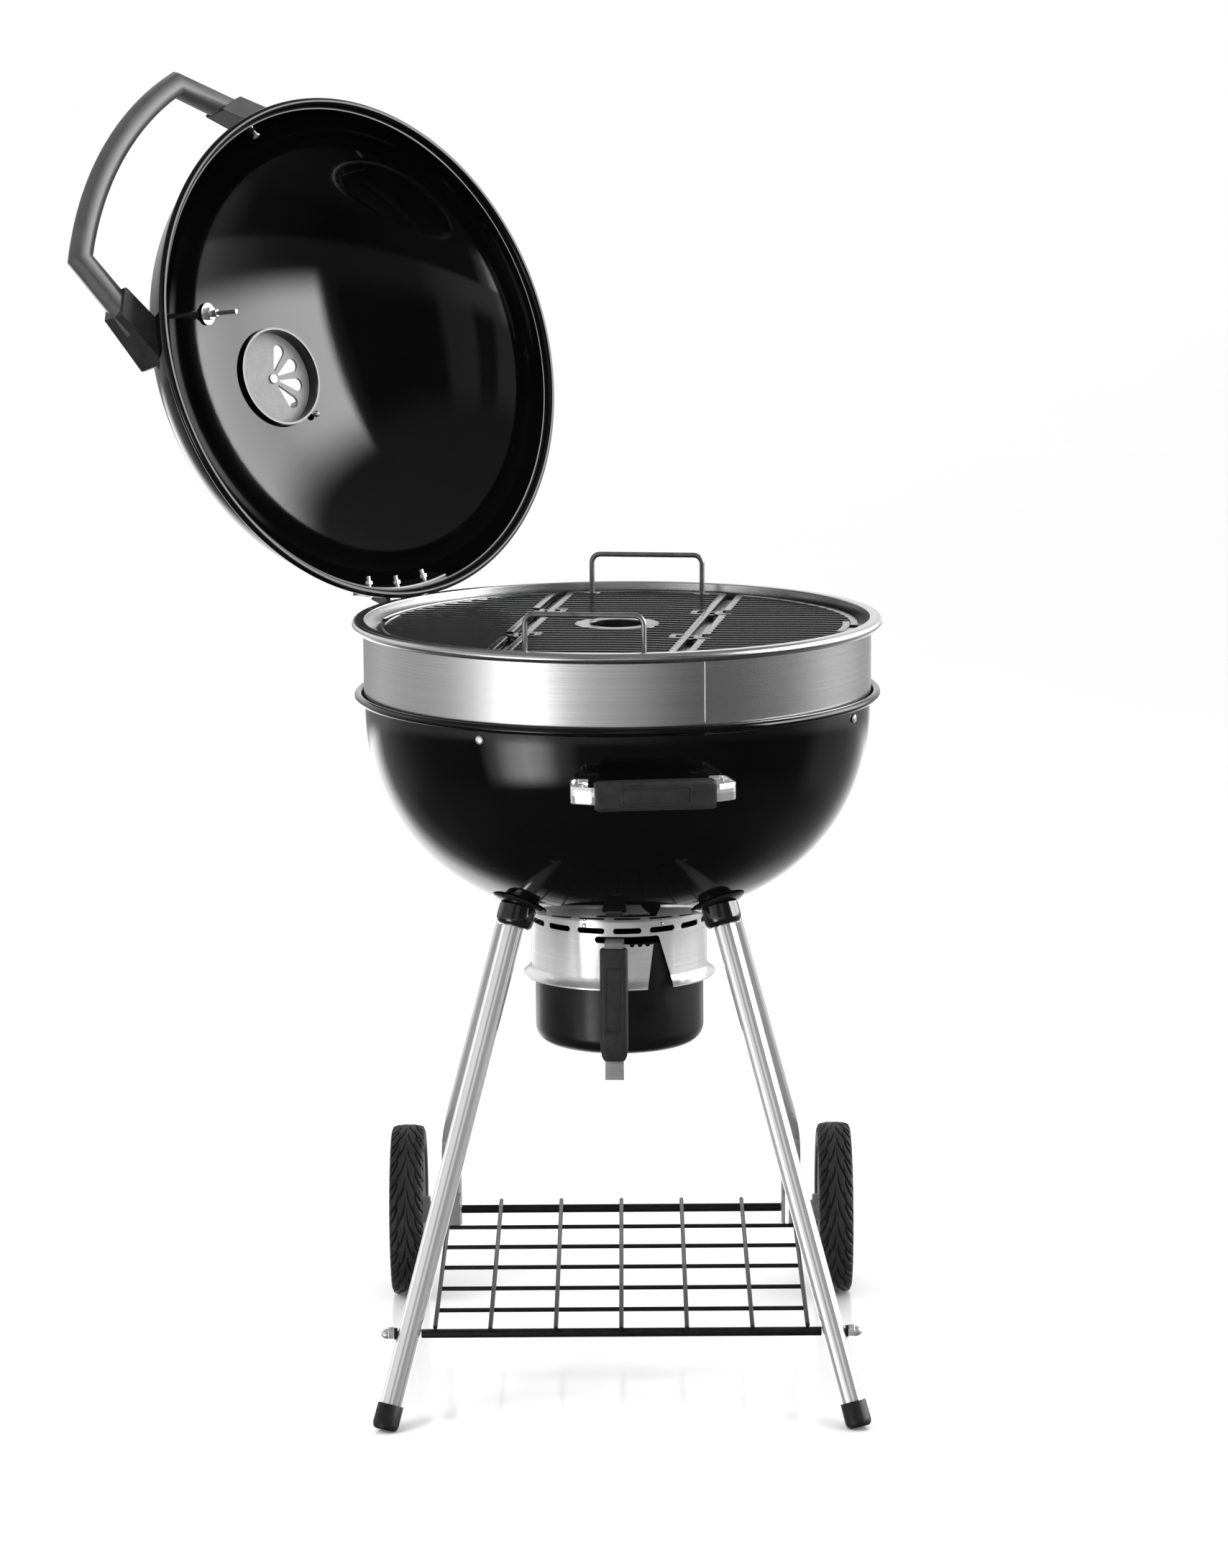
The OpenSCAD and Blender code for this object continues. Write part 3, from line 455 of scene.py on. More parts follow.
def glass(name):
    g = Graph(name)
    g.link(g.ramp(g.noise(30, 3), [(0.3, grey(0.93)), (0.7, grey(0.98))]), g.shader.inputs["Base Color"])
    g.link(g.span(g.noise(90, 3), 0.02, 0.06), g.shader.inputs["Roughness"])
    g.shader.inputs["Transmission Weight"].default_value = 1
    g.shader.inputs["IOR"].default_value = 1.45
    return g.material


def dial_red():
    g = Graph("dial_red")
    g.link(g.ramp(g.noise(300, 3), [(0.3, (0.45, 0.02, 0.015)), (0.7, (0.56, 0.03, 0.02))]),
           g.shader.inputs["Base Color"])
    g.link(g.span(g.noise(900, 2), 0.35, 0.5), g.shader.inputs["Roughness"])
    return g.material


ENAMEL = finish("gloss_enamel", 0.0012, 0.0022, 9, (0.04, 0.08), (520, 0.006), second=(70, 0.02),
                specular=0.32)
ENAMEL_TRIM = finish("enamel_trim", 0.003, 0.007, 30, (0.10, 0.2), (900, 0.012), coat=0.3, second=(200, 0.02))
BRUSHED = finish("brushed_band", 0.5, 0.6, 3, (0.2, 0.28), (14, 0.002), metal=1, stretch=(1, 1, 500),
                 anisotropy=0.6)
BRUSHED_COLLAR = finish("brushed_collar", 0.62, 0.7, 6, (0.22, 0.28), (30, 0.001), metal=0.6,
                        stretch=(1, 1, 60))
VENT_STEEL = ringed("vent_steel", 0.2, 0.36, (0.34, 0.46), 0.7)
CAST = finish("cast_enamel", 0.003, 0.008, 60, (0.16, 0.26), (900, 0.015), coat=0.2, second=(240, 0.01),
              specular=0.9)
PLATED = finish("plated_rod", 0.16, 0.28, 90, (0.24, 0.4), (1500, 0.01), metal=0.9)
POT_BLACK = finish("satin_black_pot", 0.003, 0.006, 25, (0.26, 0.36), (1600, 0.015), specular=0.3)
STRAP_STEEL = finish("satin_strap", 0.14, 0.2, 70, (0.4, 0.52), (1800, 0.012), metal=0.2)
RUBBER = finish("grip_rubber", 0.010, 0.018, 90, (0.46, 0.6), (2600, 0.03), second=(700, 0.02), specular=0.3)
PLASTIC = finish("handle_plastic", 0.03, 0.048, 40, (0.3, 0.42), (2400, 0.02), second=(500, 0.012))
BLOCK = finish("boot_block", 0.008, 0.014, 60, (0.3, 0.45), (2200, 0.02))
CAP = finish("cap_rubber", 0.004, 0.010, 110, (0.4, 0.56), (2000, 0.03), second=(400, 0.03), specular=0.3)
CHROME = finish("chrome", 0.8, 0.88, 16, (0.04, 0.08), (160, 0.002), metal=0.78, stretch=(1, 1, 0.25))
FASTENER = finish("bright_fasteners", 0.58, 0.76, 260, (0.14, 0.28), (2200, 0.01), metal=0.8)
POWDER = finish("powder_coat", 0.003, 0.007, 120, (0.32, 0.46), (1500, 0.02), second=(500, 0.02),
                specular=0.25)
TYRE = finish("tyre_rubber", 0.012, 0.02, 50, (0.55, 0.7), (1800, 0.03), second=(300, 0.03), specular=0.3)
WHEEL = finish("wheel_plastic", 0.14, 0.2, 60, (0.36, 0.5), (1800, 0.03))
GLASS = glass("dial_glass")
DIAL = finish("dial_face", 0.76, 0.84, 120, (0.4, 0.5), (2000, 0.01))
INK = finish("dial_ink", 0.015, 0.025, 200, (0.45, 0.6), (2000, 0.01))
NEEDLE = dial_red()
BRACKET = finish("hinge_bracket", 0.05, 0.08, 70, (0.28, 0.42), (1500, 0.02), metal=0.3)


# ---------------------------------------------------------------- bowl and band

def bowl_height(r):
    """Height of the bowl's outer face at a distance from the axis."""
    return BOWL_TOP - BOWL_DEPTH * max(0, 1 - (min(r, BOWL_R) / BOWL_R) ** BOWL_CURVE) ** (1 / BOWL_CURVE)


def make_bowl():
    outer = [(r, BOWL_TOP - z) for r, z in reversed(arch(BOWL_R, BOWL_DEPTH, BOWL_CURVE, ASH_HOLE_R))]
    inner = [(r, BOWL_TOP - z) for r, z in arch(BOWL_R - SHEET, BOWL_DEPTH - SHEET, BOWL_CURVE, ASH_HOLE_R)]
    roll = arc(BOWL_BEAD_R, BEAD_Z, BEAD_R, 222, 530, 30)
    neck = [(BOWL_R + 1.2, BOWL_TOP + 0.5), (BOWL_R + 2.6, BOWL_TOP + 1.4)]
    inside = [(BAND_R + 0.9, BEAD_Z - 2), (BAND_R + 0.3, BOWL_TOP)]
    build("bowl_enamel", lathe(outer + neck + roll + inside + inner, 256), "grill", ENAMEL,
          ("bowl",))


def make_band():
    ring = arc(RING_CENTRE_R, RING_Z, RING_R, 218, 450, 26)
    inner = BAND_R - BAND_HALF_WALL
    lip = [(BAND_R + BAND_HALF_WALL, RING_Z + RING_R)]
    lip += arc(BAND_R, RING_Z + RING_R - BAND_HALF_WALL, BAND_HALF_WALL, 90, 180, 5)
    middle, quarter = 812, 22
    wall = [(inner, middle), (inner, BOWL_TOP)]
    outside = [(BAND_R, BOWL_TOP), (BAND_R, middle - quarter), (BAND_R, middle), (BAND_R, middle + quarter),
               (BAND_R, RING_Z - RING_R + 0.4), (BAND_R + 0.7, RING_Z - RING_R + 0.9)]

    def overlap(turn, r, z):
        """The sheet's end laps over its start, and the step fades out over 30 degrees."""
        past = (turn - BAND_SEAM) % 360
        ahead = 0.7 * max(0, 1 - past / 30)
        return (r + ahead if r < BAND_R + 1 and z < RING_Z - 4 else r), z

    turns = sorted({i * 360 / 240 for i in range(240)} | {BAND_SEAM % 360, (BAND_SEAM - 0.12) % 360})
    build("band_steel", lathe(outside + ring + lip + wall, angles=turns, shift=overlap), "grill", BRUSHED,
          ("steel_band",), angle=25)


# ---------------------------------------------------------------- grate

RIB = [(-3.6, -11.5), (-2.9, -4), (-2, -1.1), (-0.8, 0), (0.8, 0), (2, -1.1), (2.9, -4), (3.6, -11.5)]
BAR = [(-4.5, -11.5), (-4.5, -1.2), (-4.1, -0.4), (-3.3, 0), (3.3, 0), (4.1, -0.4), (4.5, -1.2), (4.5, -11.5)]


def wave(x):
    """Sideways sway of a rib along its length."""
    return 3.2 * sin(x / 190 * 2 * pi + 0.6)


def rib(x0, x1, y):
    steps = max(2, ceil(abs(x1 - x0) / 7))
    line = [x0 + (x1 - x0) * i / steps for i in range(steps + 1)]
    return sweep([(x, y + wave(x), GRATE_TOP) for x in line], [(b, a) for a, b in RIB], (0, 0, 1))


def rim_bar(start, end, r):
    """Curved bar of the grate's frame, from start to end degrees about the axis."""
    steps = max(6, ceil(abs(end - start) / 2))
    path = [(x, y, GRATE_TOP) for x, y in arc(0, 0, r, start, end, steps)]
    return sweep(path, [(b, a) for a, b in BAR], (0, 0, 1))


def straight_bar(x, start, end):
    return sweep([(x, start, GRATE_TOP), (x, end, GRATE_TOP)], [(b, a) for a, b in BAR], (0, 0, 1))


def knuckle(x, y, length):
    path = [(x, y, GRATE_TOP - GRATE_T / 2), (x, y + length, GRATE_TOP - GRATE_T / 2)]
    return sweep(path, round_section(KNUCKLE_R, 28), (0, 0, 1))


def hinge_arm(x0, x1, y, length):
    """Flat arm that joins a knuckle to its casting."""
    outline = [(x0, y), (x1, y), (x1, y + length), (x0, y + length)]
    return slab(outline, GRATE_TOP - 10.5, GRATE_TOP - 1, 0.4)


def rib_rows():
    return [i * RIB_PITCH for i in range(-15, 16)]


def between_knuckles(end, gap):
    """Stretches of a line along Y that keep clear of the knuckles."""
    return (-end, -KNUCKLE_Y - gap), (gap - KNUCKLE_Y, KNUCKLE_Y - gap), (KNUCKLE_Y + gap, end)


def centre_frame():
    """The middle piece's frame and ribs, and the plain ring in its middle."""
    corner = sqrt(FRAME_R ** 2 - CENTRE_HALF ** 2)
    parts = [straight_bar(side * (CENTRE_HALF - BAR_HALF), -corner, corner) for side in (-1, 1)]
    reach = degrees(asin((CENTRE_HALF - 2) / FRAME_R))
    parts += [rim_bar(90 - reach, 90 + reach, FRAME_R), rim_bar(270 - reach, 270 + reach, FRAME_R)]
    for y in rib_rows():
        span = min(CENTRE_HALF - 5, sqrt(max(0, (FRAME_R - 2) ** 2 - y ** 2)))
        if abs(y) < EMBLEM_REACH:
            gap = sqrt(max(0, EMBLEM_REACH ** 2 - y ** 2))
            parts += [rib(-span, -gap, y), rib(gap, span, y)]
        elif span > 15:
            parts.append(rib(-span, span, y))
    parts.append(lathe([(EMBLEM_BORE, GRATE_LOW), (EMBLEM_R, GRATE_LOW), (EMBLEM_R, GRATE_TOP - 1),
                        (EMBLEM_R - 0.8, GRATE_TOP), (EMBLEM_BORE + 0.8, GRATE_TOP),
                        (EMBLEM_BORE, GRATE_TOP - 1)], 96))
    return parts


def centre_strips():
    """Low strips beside the middle piece that close the gaps to the leaves."""
    strip_t = 4.5
    z = GRATE_LOW + strip_t / 2
    parts = []
    for side in (-1, 1):
        x = side * (CENTRE_HALF + 4.7)
        for y0, y1 in between_knuckles(250, 18):
            parts.append(sweep([(x, y0, z), (x, y1, z)], box_section(strip_t, 12, 0.8, 2), (0, 0, 1)))
    return parts


def centre_fittings():
    """Handle posts, hooks and the hinge's ears, at each of the four corners."""
    hook = [(0, -17), (15, -17), (15, -9), (7, -9), (7, 9), (15, 9), (15, 17), (0, 17)]
    parts = []
    for row in (-1, 1):
        for side in (-1, 1):
            post = [(side * POST_X + x, row * POST_Y + y) for x, y in round_section(10, 32)]
            parts.append(slab(post, GRATE_LOW + 2, GRATE_TOP + 0.4))
            outline = [(side * (CENTRE_HALF - 22 + x), row * KNUCKLE_Y + y) for x, y in hook]
            parts.append(slab(outline, GRATE_LOW + 3, GRATE_TOP + 0.3, 0.5))
            for ear in (-13, 8):
                y = row * KNUCKLE_Y + ear
                parts.append(knuckle(side * LEAF_X, y, 5))
                parts.append(hinge_arm(side * (CENTRE_HALF - 2), side * LEAF_X, y, 5))
    return parts


def leaf():
    """The leaf on the +X side, with its finger notch."""
    line = LEAF_START + BAR_HALF
    corner = sqrt(FRAME_R ** 2 - LEAF_START ** 2) - 3
    parts = [straight_bar(line, y0, y1) for y0, y1 in between_knuckles(corner, 19)]
    reach = degrees(acos((LEAF_START + 3) / FRAME_R))
    for start, end in ((-reach, -2.6), (2.6, reach)):
        parts.append(rim_bar(start, end, FRAME_R))
    parts.append(rim_bar(-9, 9, FRAME_R - 9))
    for y in rib_rows():
        end = sqrt(max(0, (FRAME_R - 2) ** 2 - y ** 2)) - (9 if abs(y) < 30 else 0)
        if end > line + 12:
            parts.append(rib(line, end, y))
    for row in (-1, 1):
        y = row * KNUCKLE_Y - 7
        parts.append(knuckle(LEAF_X, y, 14))
        parts.append(hinge_arm(LEAF_X, line + 8, y, 14))
    return joined(*parts)


def make_grate():
    place = KETTLE @ turned("Z", GRATE_TURN)
    centre = joined(*centre_frame(), *centre_strips(), *centre_fittings())
    build("grate_centre", centre, "grill", CAST, ("cooking_grate",), place)
    for name, shape in (("left", flipped(leaf())), ("right", leaf())):
        build("grate_leaf_" + name + "_cast", shape, name + "_leaf", CAST,
              ("grate_leaf_" + name,), place)
    for row, name in ((-1, "front"), (1, "rear")):
        y, top = row * POST_Y, GRATE_TOP + 45
        corners = [(-POST_X, y, GRATE_LOW), (-POST_X, y, top), (POST_X, y, top), (POST_X, y, GRATE_LOW)]
        bent = sweep(fillet(corners, 10), round_section(3), (0, 1, 0))
        build("grate_rod_" + name, bent, "grill", PLATED,
              ("grate_handle_" + name,), place)


# ---------------------------------------------------------------- ash catcher

def grip_frame(points):
    """Plain raised line on a grip, along a closed outline."""
    return sweep(fillet(points, 3.5, 6)[:-1], round_section(GRIP_LINE_R, 10), (0, 1, 0), loop=True)


def make_pot():
    top, lip = SLOT_Z - 5, 0.6
    turn_r, turn_z = POT_R - POT_ROUND, POT_Z + POT_ROUND
    outer = [(0, POT_Z)] + arc(turn_r, turn_z, POT_ROUND, -90, 0, 14)
    outer += [(POT_R, 440), (POT_R, top - lip)]
    inner = [(POT_R - lip, top), (POT_R - POT_WALL, top - lip), (POT_R - POT_WALL, turn_z)]
    inner += list(reversed(arc(turn_r, turn_z, POT_ROUND - POT_WALL, -90, 0, 12))) + [(0, POT_Z + POT_WALL)]
    build("ash_pot_shell", lathe(outer + inner, 160), "ash_catcher", POT_BLACK,
          ("ash_pot",))


def make_ash_handle():
    front = turned("Z", STRAP_TURN)
    strap = [(0, -93.1, SLOT_Z - 26), (0, -93.1, SLOT_Z), (0, -115.4, SLOT_Z), (0, STRAP_Y, SLOT_Z - 6),
             (0, STRAP_Y, 372), (0, -118.3, 364), (0, -118.3, 352)]
    ribbon = sweep(fillet(strap, 3.5, 6), box_section(2.4, 21, 0.6, 2), (0, 1, 0))
    build("ash_strap_steel", at(front, ribbon), "ash_catcher", STRAP_STEEL, ("ash_strap",))

    ends = [(374, 0.7), (375, 0.78), (379, 0.9), (386, 0.97), (392, 1), (499.5, 1), (501.5, 0.96), (502, 0.9)]
    grip = sweep([(0, STRAP_Y, z) for z, share in ends], box_section(ASH_GRIP_W, ASH_GRIP_T, 5.2, 6),
                 (1, 0, 0), scales=[share for z, share in ends])
    x, y = 9.5, STRAP_Y - ASH_GRIP_T / 2 - 0.1
    line = grip_frame([(-x, y, 430), (-x, y, 480), (x, y, 480), (x, y, 408), (-x, y, 408), (-x, y, 430)])
    build("ash_grip_rubber", at(front, joined(grip, line)), "ash_catcher", RUBBER,
          ("ash_grip",))


# ---------------------------------------------------------------- bowl handle

def make_bowl_handle():
    front = turned("Z", HANDLE_TURN)
    line = [(-66, -275.5, 0), (-84, -270.6, 0), (-89, -318, 0), (-68, HANDLE_Y, 0), (68, HANDLE_Y, 0),
            (89, -318, 0), (84, -270.6, 0), (66, -275.5, 0)]
    path = [p + Vector((0, 0, HANDLE_Z)) for p in fillet(line, 9, 8)]
    strap = sweep(path, box_section(2.5, 19, 0.8, 2), (0, 1, 0))
    build("handle_strap_chrome", at(front, strap), "grill", CHROME, ("bowl_handle_strap",))

    depth, height = 20, 32
    ends = [(-65.5, 0.86), (-64, 0.93), (-61, 1), (61, 1), (64, 0.93), (65.5, 0.86)]
    grip = sweep([(x, HANDLE_Y, HANDLE_Z) for x, share in ends], box_section(depth, height, 5, 6), (0, 1, 0),
                 scales=[share for x, share in ends])
    x, y, low, high = 38, HANDLE_Y - 10.2, HANDLE_Z - 9.5, HANDLE_Z + 9.5
    line = grip_frame([(0, y, high), (x, y, high), (x, y, low), (-x, y, low), (-x, y, high), (0, y, high)])
    build("handle_grip_rubber", at(front, joined(grip, line)), "grill", RUBBER,
          ("bowl_handle_grip",))


# ---------------------------------------------------------------- lid

def make_lid():
    outer = [(r, LID_Z + z) for r, z in reversed(arch(LID_R, LID_H, 2, VENT_HOLE_R)) if z > 5]
    inner = [(r, LID_Z + z) for r, z in arch(LID_R - SHEET, LID_H - SHEET, 2, VENT_HOLE_R) if z > 5]
    shoulder = arc(LID_R + 2.2, LID_Z + 5.6, 2.2, 180, 250, 5)
    roll = arc(LID_BEAD_R, LID_Z, BEAD_R, 110, -205, 34)
    inside = [(LID_R + 0.6, LID_Z + 2.9), (LID_R - SHEET, LID_Z + 3.2)]
    build("lid_enamel", lathe(outer + shoulder + roll + inside + inner, 256), "lid", ENAMEL,
          ("lid_shell",), OPENED)


HANDLE_SECTION = [(-13, -9), (-5, -13), (8, -12), (14, 0), (8, 12), (-5, 13), (-13, 9)]
GRIP_BOW_R, GRIP_HALF = 368, 140
GRIP_Z = LID_Z + 65
ROOT = Vector((170, -232, LID_Z + 49))
CORNER = Vector((GRIP_HALF, -sqrt(GRIP_BOW_R ** 2 - GRIP_HALF ** 2), GRIP_Z))


def softened_outline(points, cut):
    """Cuts the corners of a closed outline."""
    result = []
    for i, p in enumerate(points):
        p, before, after = Vector(p), Vector(points[i - 1]), Vector(points[(i + 1) % len(points)])
        result += [p + (before - p).normalized() * cut, p + (before + after - 2 * p).normalized() * cut * 0.3,
                   p + (after - p).normalized() * cut]
    return [tuple(p) for p in result]


def make_lid_handle():
    turn = degrees(asin(GRIP_HALF / GRIP_BOW_R))
    bow = [(x, y, GRIP_Z) for x, y in arc(0, 0, GRIP_BOW_R, -90 - turn, -90 + turn, 36)]
    left_root = Vector((-ROOT.x, ROOT.y, ROOT.z))
    left_corner = Vector((-CORNER.x, CORNER.y, CORNER.z))
    arm = [left_root.lerp(left_corner, 0.3 * i / 3 + 0.1) for i in range(4)]
    back = [Vector((-p.x, p.y, p.z)) for p in reversed(arm)]
    path = arm + bow + back
    scales = [1.16 - 0.04 * i for i in range(4)] + [1] * len(bow) + [1.04 + 0.04 * i for i in range(4)]
    shape = sweep(path, softened_outline(HANDLE_SECTION, 1.6), (-1, 0, 0), scales=scales)
    build("lid_handle_bow", shape, "lid", PLASTIC, ("lid_handle",), OPENED, angle=24)
    for node in ("handle_boot_left", "handle_boot_right"):
        softened(node, BLOCK, 2.2, 3, OPENED)


def make_vent():
    collar = [(56.5, LID_Z + 150), (VENT_HOLE_R, LID_Z + 150), (VENT_HOLE_R, LID_Z + 157), (67, LID_Z + 157),
              (68, LID_Z + 158.4), (67, LID_Z + 159.8), (VENT_HOLE_R + 1.5, LID_Z + 160.6),
              (VENT_HOLE_R, LID_Z + 162), (VENT_HOLE_R, VENT_Z - 0.8), (VENT_HOLE_R - 0.8, VENT_Z),
              (57.3, VENT_Z), (56.5, VENT_Z - 0.8)]
    build("vent_collar_black", lathe(collar, 128), "lid", ENAMEL_TRIM,
          ("vent_collar",), OPENED)
    softened("vent_plate", VENT_STEEL, 0.25, 2, OPENED)
    softened("vent_damper", VENT_STEEL, 0.25, 2, OPENED)
    softened("damper_knob", FASTENER, 0.8, 3, OPENED)


def make_thermometer():
    gauge = outward(GAUGE_TURN, GAUGE_R, GAUGE_Z, GAUGE_TILT)
    bezel = [(2.6, -2), (5, -2), (5, 1.8), (31, 1.8), (32, 2.6)] + arc(30.5, 12.3, 1.5, 0, 180, 8)
    bezel += [(29, 12), (29, 4.8), (2.6, 4.8)]
    build("thermometer_bezel", at(gauge, lathe(bezel, 128)), "lid", CHROME,
          ("thermometer_case",), OPENED)
    lens = [(0, 11.4), (28.9, 11.4), (28.9, 12.6), (20, 13), (8, 13.2), (0, 13.2)]
    build("thermometer_lens", at(gauge, lathe(lens, 96, closed=False)), "lid", GLASS,
          ("thermometer_glass",), OPENED)
    low, high, tick_end = 5.75, 6, 26.5
    ticks = []
    for i in range(31):
        turn = radians(225 - 9 * i)
        inner, half = (20.5, 0.6) if i % 5 == 0 else (23.5, 0.35)
        outline = [(inner, -half), (tick_end, -half), (tick_end, half), (inner, half)]
        spot = [(x * cos(turn) - y * sin(turn), x * sin(turn) + y * cos(turn)) for x, y in outline]
        ticks.append(slab(spot, low, high, 0.05))
    ticks.append(lathe([(27.2, low), (27.8, low), (27.8, high), (27.2, high)], 96))
    build("thermometer_ticks", at(gauge, joined(*ticks)), "lid", INK, (), OPENED)


# ---------------------------------------------------------------- trolley

def make_socket(name, x, y, foot):
    """Cup for a leg, and the thin saucer above it, which stays below the bowl's face."""
    cup = [(0, -34), (20.4, -34), (20.9, 0), (21.1, 12), (20.8, 16.5), (19.6, 20), (17.4, 22.4), (14.8, 23.2),
           (12.5, 23), (12.3, 0)]
    saucer = [(0, -14), (25, -14), (27, -7), (31.2, -4.4), (31.8, -3.6), (31.2, -2.8), (27, -1.2), (23, 0.6),
              (0, 1.4)]
    turn = degrees(atan2(LEG_TOP.x, LEG_TOP.y))
    out = sqrt(LEG_TOP.x ** 2 + LEG_TOP.y ** 2)
    base = turned("Z", 180 - turn) @ moved(0, -out, LEG_TOP.z) @ turned("X", 150)
    verts, faces = joined(at(along(LEG_TOP, foot), lathe(cup, 72, closed=False)),
                          at(base, lathe(saucer, 96, closed=False)))
    into_bowl = 0.8
    kept = []
    for v in verts:
        top = bowl_height(sqrt(v[0] ** 2 + v[1] ** 2)) + into_bowl
        kept.append((x * v[0], y * v[1], min(v[2], top)))
    build("socket_" + name + "_cup", (kept, faces), "grill", ENAMEL_TRIM,
          ("socket_" + name,))


def make_tube(name, path):
    tube = sweep(path, round_section(LEG_R, 48), (1, 0, 0))
    build(name + "_tube", tube, "grill", CHROME, (name,))


def make_legs():
    for x, side in ((-1, "left"), (1, "right")):
        def mirrored(points, y):
            return [(x * p[0], y * p[1], p[2]) for p in points]

        make_tube("leg_front_" + side, mirrored([LEG_TOP, FRONT_FOOT], -1))
        bend = fillet([LEG_TOP, REAR_BEND, (REAR_BEND.x, REAR_BEND.y, LEG_BOTTOM)], 120, 14)
        make_tube("leg_rear_" + side, mirrored(bend, 1))
        make_socket("front_" + side, x, -1, FRONT_FOOT)
        make_socket("rear_" + side, x, 1, REAR_BEND)

        cap = [(0, -5), (9.6, -5), (11.8, -4.2), (13.4, -2.4), (14.4, 0.6), (14.6, 3), (14.3, 23), (13.9, 24),
               (12.2, 24), (12.2, 10)]
        verts, faces = at(along(FRONT_FOOT, LEG_TOP), lathe(cap, 72, closed=False))
        verts = [(x * v[0], -v[1], max(v[2], 0.0)) for v in verts]
        build("foot_" + side + "_rubber", (verts, faces), "grill", CAP, ("foot_cap_" + side,))


def make_shelf_bar():
    inner = LEG_X - 13.6
    parts = [rod((-inner, -SHELF_Y, SHELF_Z), (inner, -SHELF_Y, SHELF_Z), 5)]
    for side in (-1, 1):
        stud = [(side * (LEG_X + 5), -SHELF_Y, SHELF_Z), (side * (LEG_X + 23), -SHELF_Y, SHELF_Z)]
        parts.append(rod(*stud, 3))
    for side in (-1, 1):
        washer = [(side * (LEG_X + 12.6), -SHELF_Y, SHELF_Z), (side * (LEG_X + 16), -SHELF_Y, SHELF_Z)]
        parts.append(sweep(washer, round_section(6.6, 28), (0, 0, 1)))
    build("shelf_bar_front", joined(*parts), "grill", POWDER, ("shelf_front_bar",))


def make_shelf_wires():
    rows, pitch_x, edge_x, wire_r = 5, 72.1, 205, 2.5
    wire_z = SHELF_Z + 7.5
    pitch_y = (AXLE_Y + SHELF_Y) / (rows + 1)
    lines = [-SHELF_Y + i * pitch_y for i in range(1, rows + 1)]
    parts = [rod((-edge_x - 2, y, SHELF_Z + 1), (edge_x + 2, y, SHELF_Z + 1), wire_r, 16) for y in lines]
    for x in (-edge_x, *(i * pitch_x for i in range(-2, 3)), edge_x):
        at_edge = abs(x) == edge_x
        front, rear = (2, -23) if at_edge else (11, 12)
        parts.append(rod((x, -SHELF_Y - front, wire_z), (x, AXLE_Y + rear, wire_z), wire_r, 16))
        for y in lines:
            weld = [(x + p[0], y + p[1]) for p in round_section(2.2, 12)]
            parts.append(slab(weld, SHELF_Z + 2, SHELF_Z + 6.5, 0.3))
    build("shelf_wire_rack", joined(*parts), "grill", POWDER, ("shelf_wires",))


def tread_cut(turn, across):
    """Depth of the tyre's grooves at an angle and at a share across its width, -1 to 1."""
    out = abs(across)
    depth = 0.0
    pitch = 360 / TREAD_BLOCKS
    for reach, shift, begin, width in ((30, 0, 0.02, 0.9), (17, 5.2, 0.42, 0.85), (17, 10.4, 0.5, 0.85)):
        if out < begin:
            continue
        share = (out - begin) / (1 - begin)
        centre = shift + reach * sqrt(share) + (0 if across > 0 else pitch / 2) + begin * 20
        slope = reach * 0.5 / sqrt(max(share, 0.03)) / (1 - begin)
        gap = abs((turn - centre + pitch / 2) % pitch - pitch / 2)
        run = radians(gap) * WHEEL_R / sqrt(1 + (radians(slope) * WHEEL_R / 20) ** 2)
        depth = max(depth, min(1, max(0, (width + 0.5 - run) / 0.7)) * min(1, share * 8 + 0.1))
    return depth


def tyre_profile():
    """Section of a tyre, as (r, z) points about its own axis."""
    steps = 56
    base = [(78, -17), (79, -18.6), (81.5, -19.6), (84, -20), (90, -20.2), (95, -19.8)]
    crown = []
    for i in range(steps + 1):
        u = -1 + 2 * i / steps
        crown.append((WHEEL_R - 3.2 * abs(u) ** 3.2 - (2.2 if abs(u) > 0.985 else 0), u * TYRE_HALF))
    return base + crown + [(r, -w) for r, w in reversed(base)]


def spoked(turn, r, w):
    """Seven low spokes on both faces of a wheel body."""
    if not 22 < r < 70:
        return r, w
    lift = max(0, cos(radians(turn * 7))) ** 3 * 4.6
    return r, w + (lift if w > 0 else -lift)


def make_wheels():
    body = [(5, -26), (14.5, -26), (16, -25), (16.5, -12), (20, -8.5), (26, -6), (32, -4.5), (60, -4.5),
            (69, -6), (72, -12), (74, -16.4), (78, -17), (78, 17), (74, 16.4), (72, 12), (69, 4),
            (60, 3.6), (32, 3.6), (26, 5), (20, 7), (16.5, 8.4), (15, 9), (5, 9)]
    for x, side in ((-1, "left"), (1, "right")):
        def grooved(turn, r, w):
            if r < WHEEL_R - 6:
                return r, w
            return r - TREAD_DEPTH * tread_cut(turn if x > 0 else -turn, w / TYRE_HALF), w

        place = moved(x * WHEEL_X, AXLE_Y, WHEEL_R) @ turned("Y", 90 * x)
        tyre = lathe(tyre_profile(), 640, shift=grooved)
        build("tyre_" + side + "_rubber", at(place, tyre), side + "_wheel", TYRE,
              ("tyre_" + side,), angle=50)
        build("wheel_" + side + "_moulding", at(place, lathe(body, 168, shift=spoked)), side + "_wheel",
              WHEEL, ("wheel_" + side,), angle=40)


# ---------------------------------------------------------------- CAD nodes that stay or are only softened

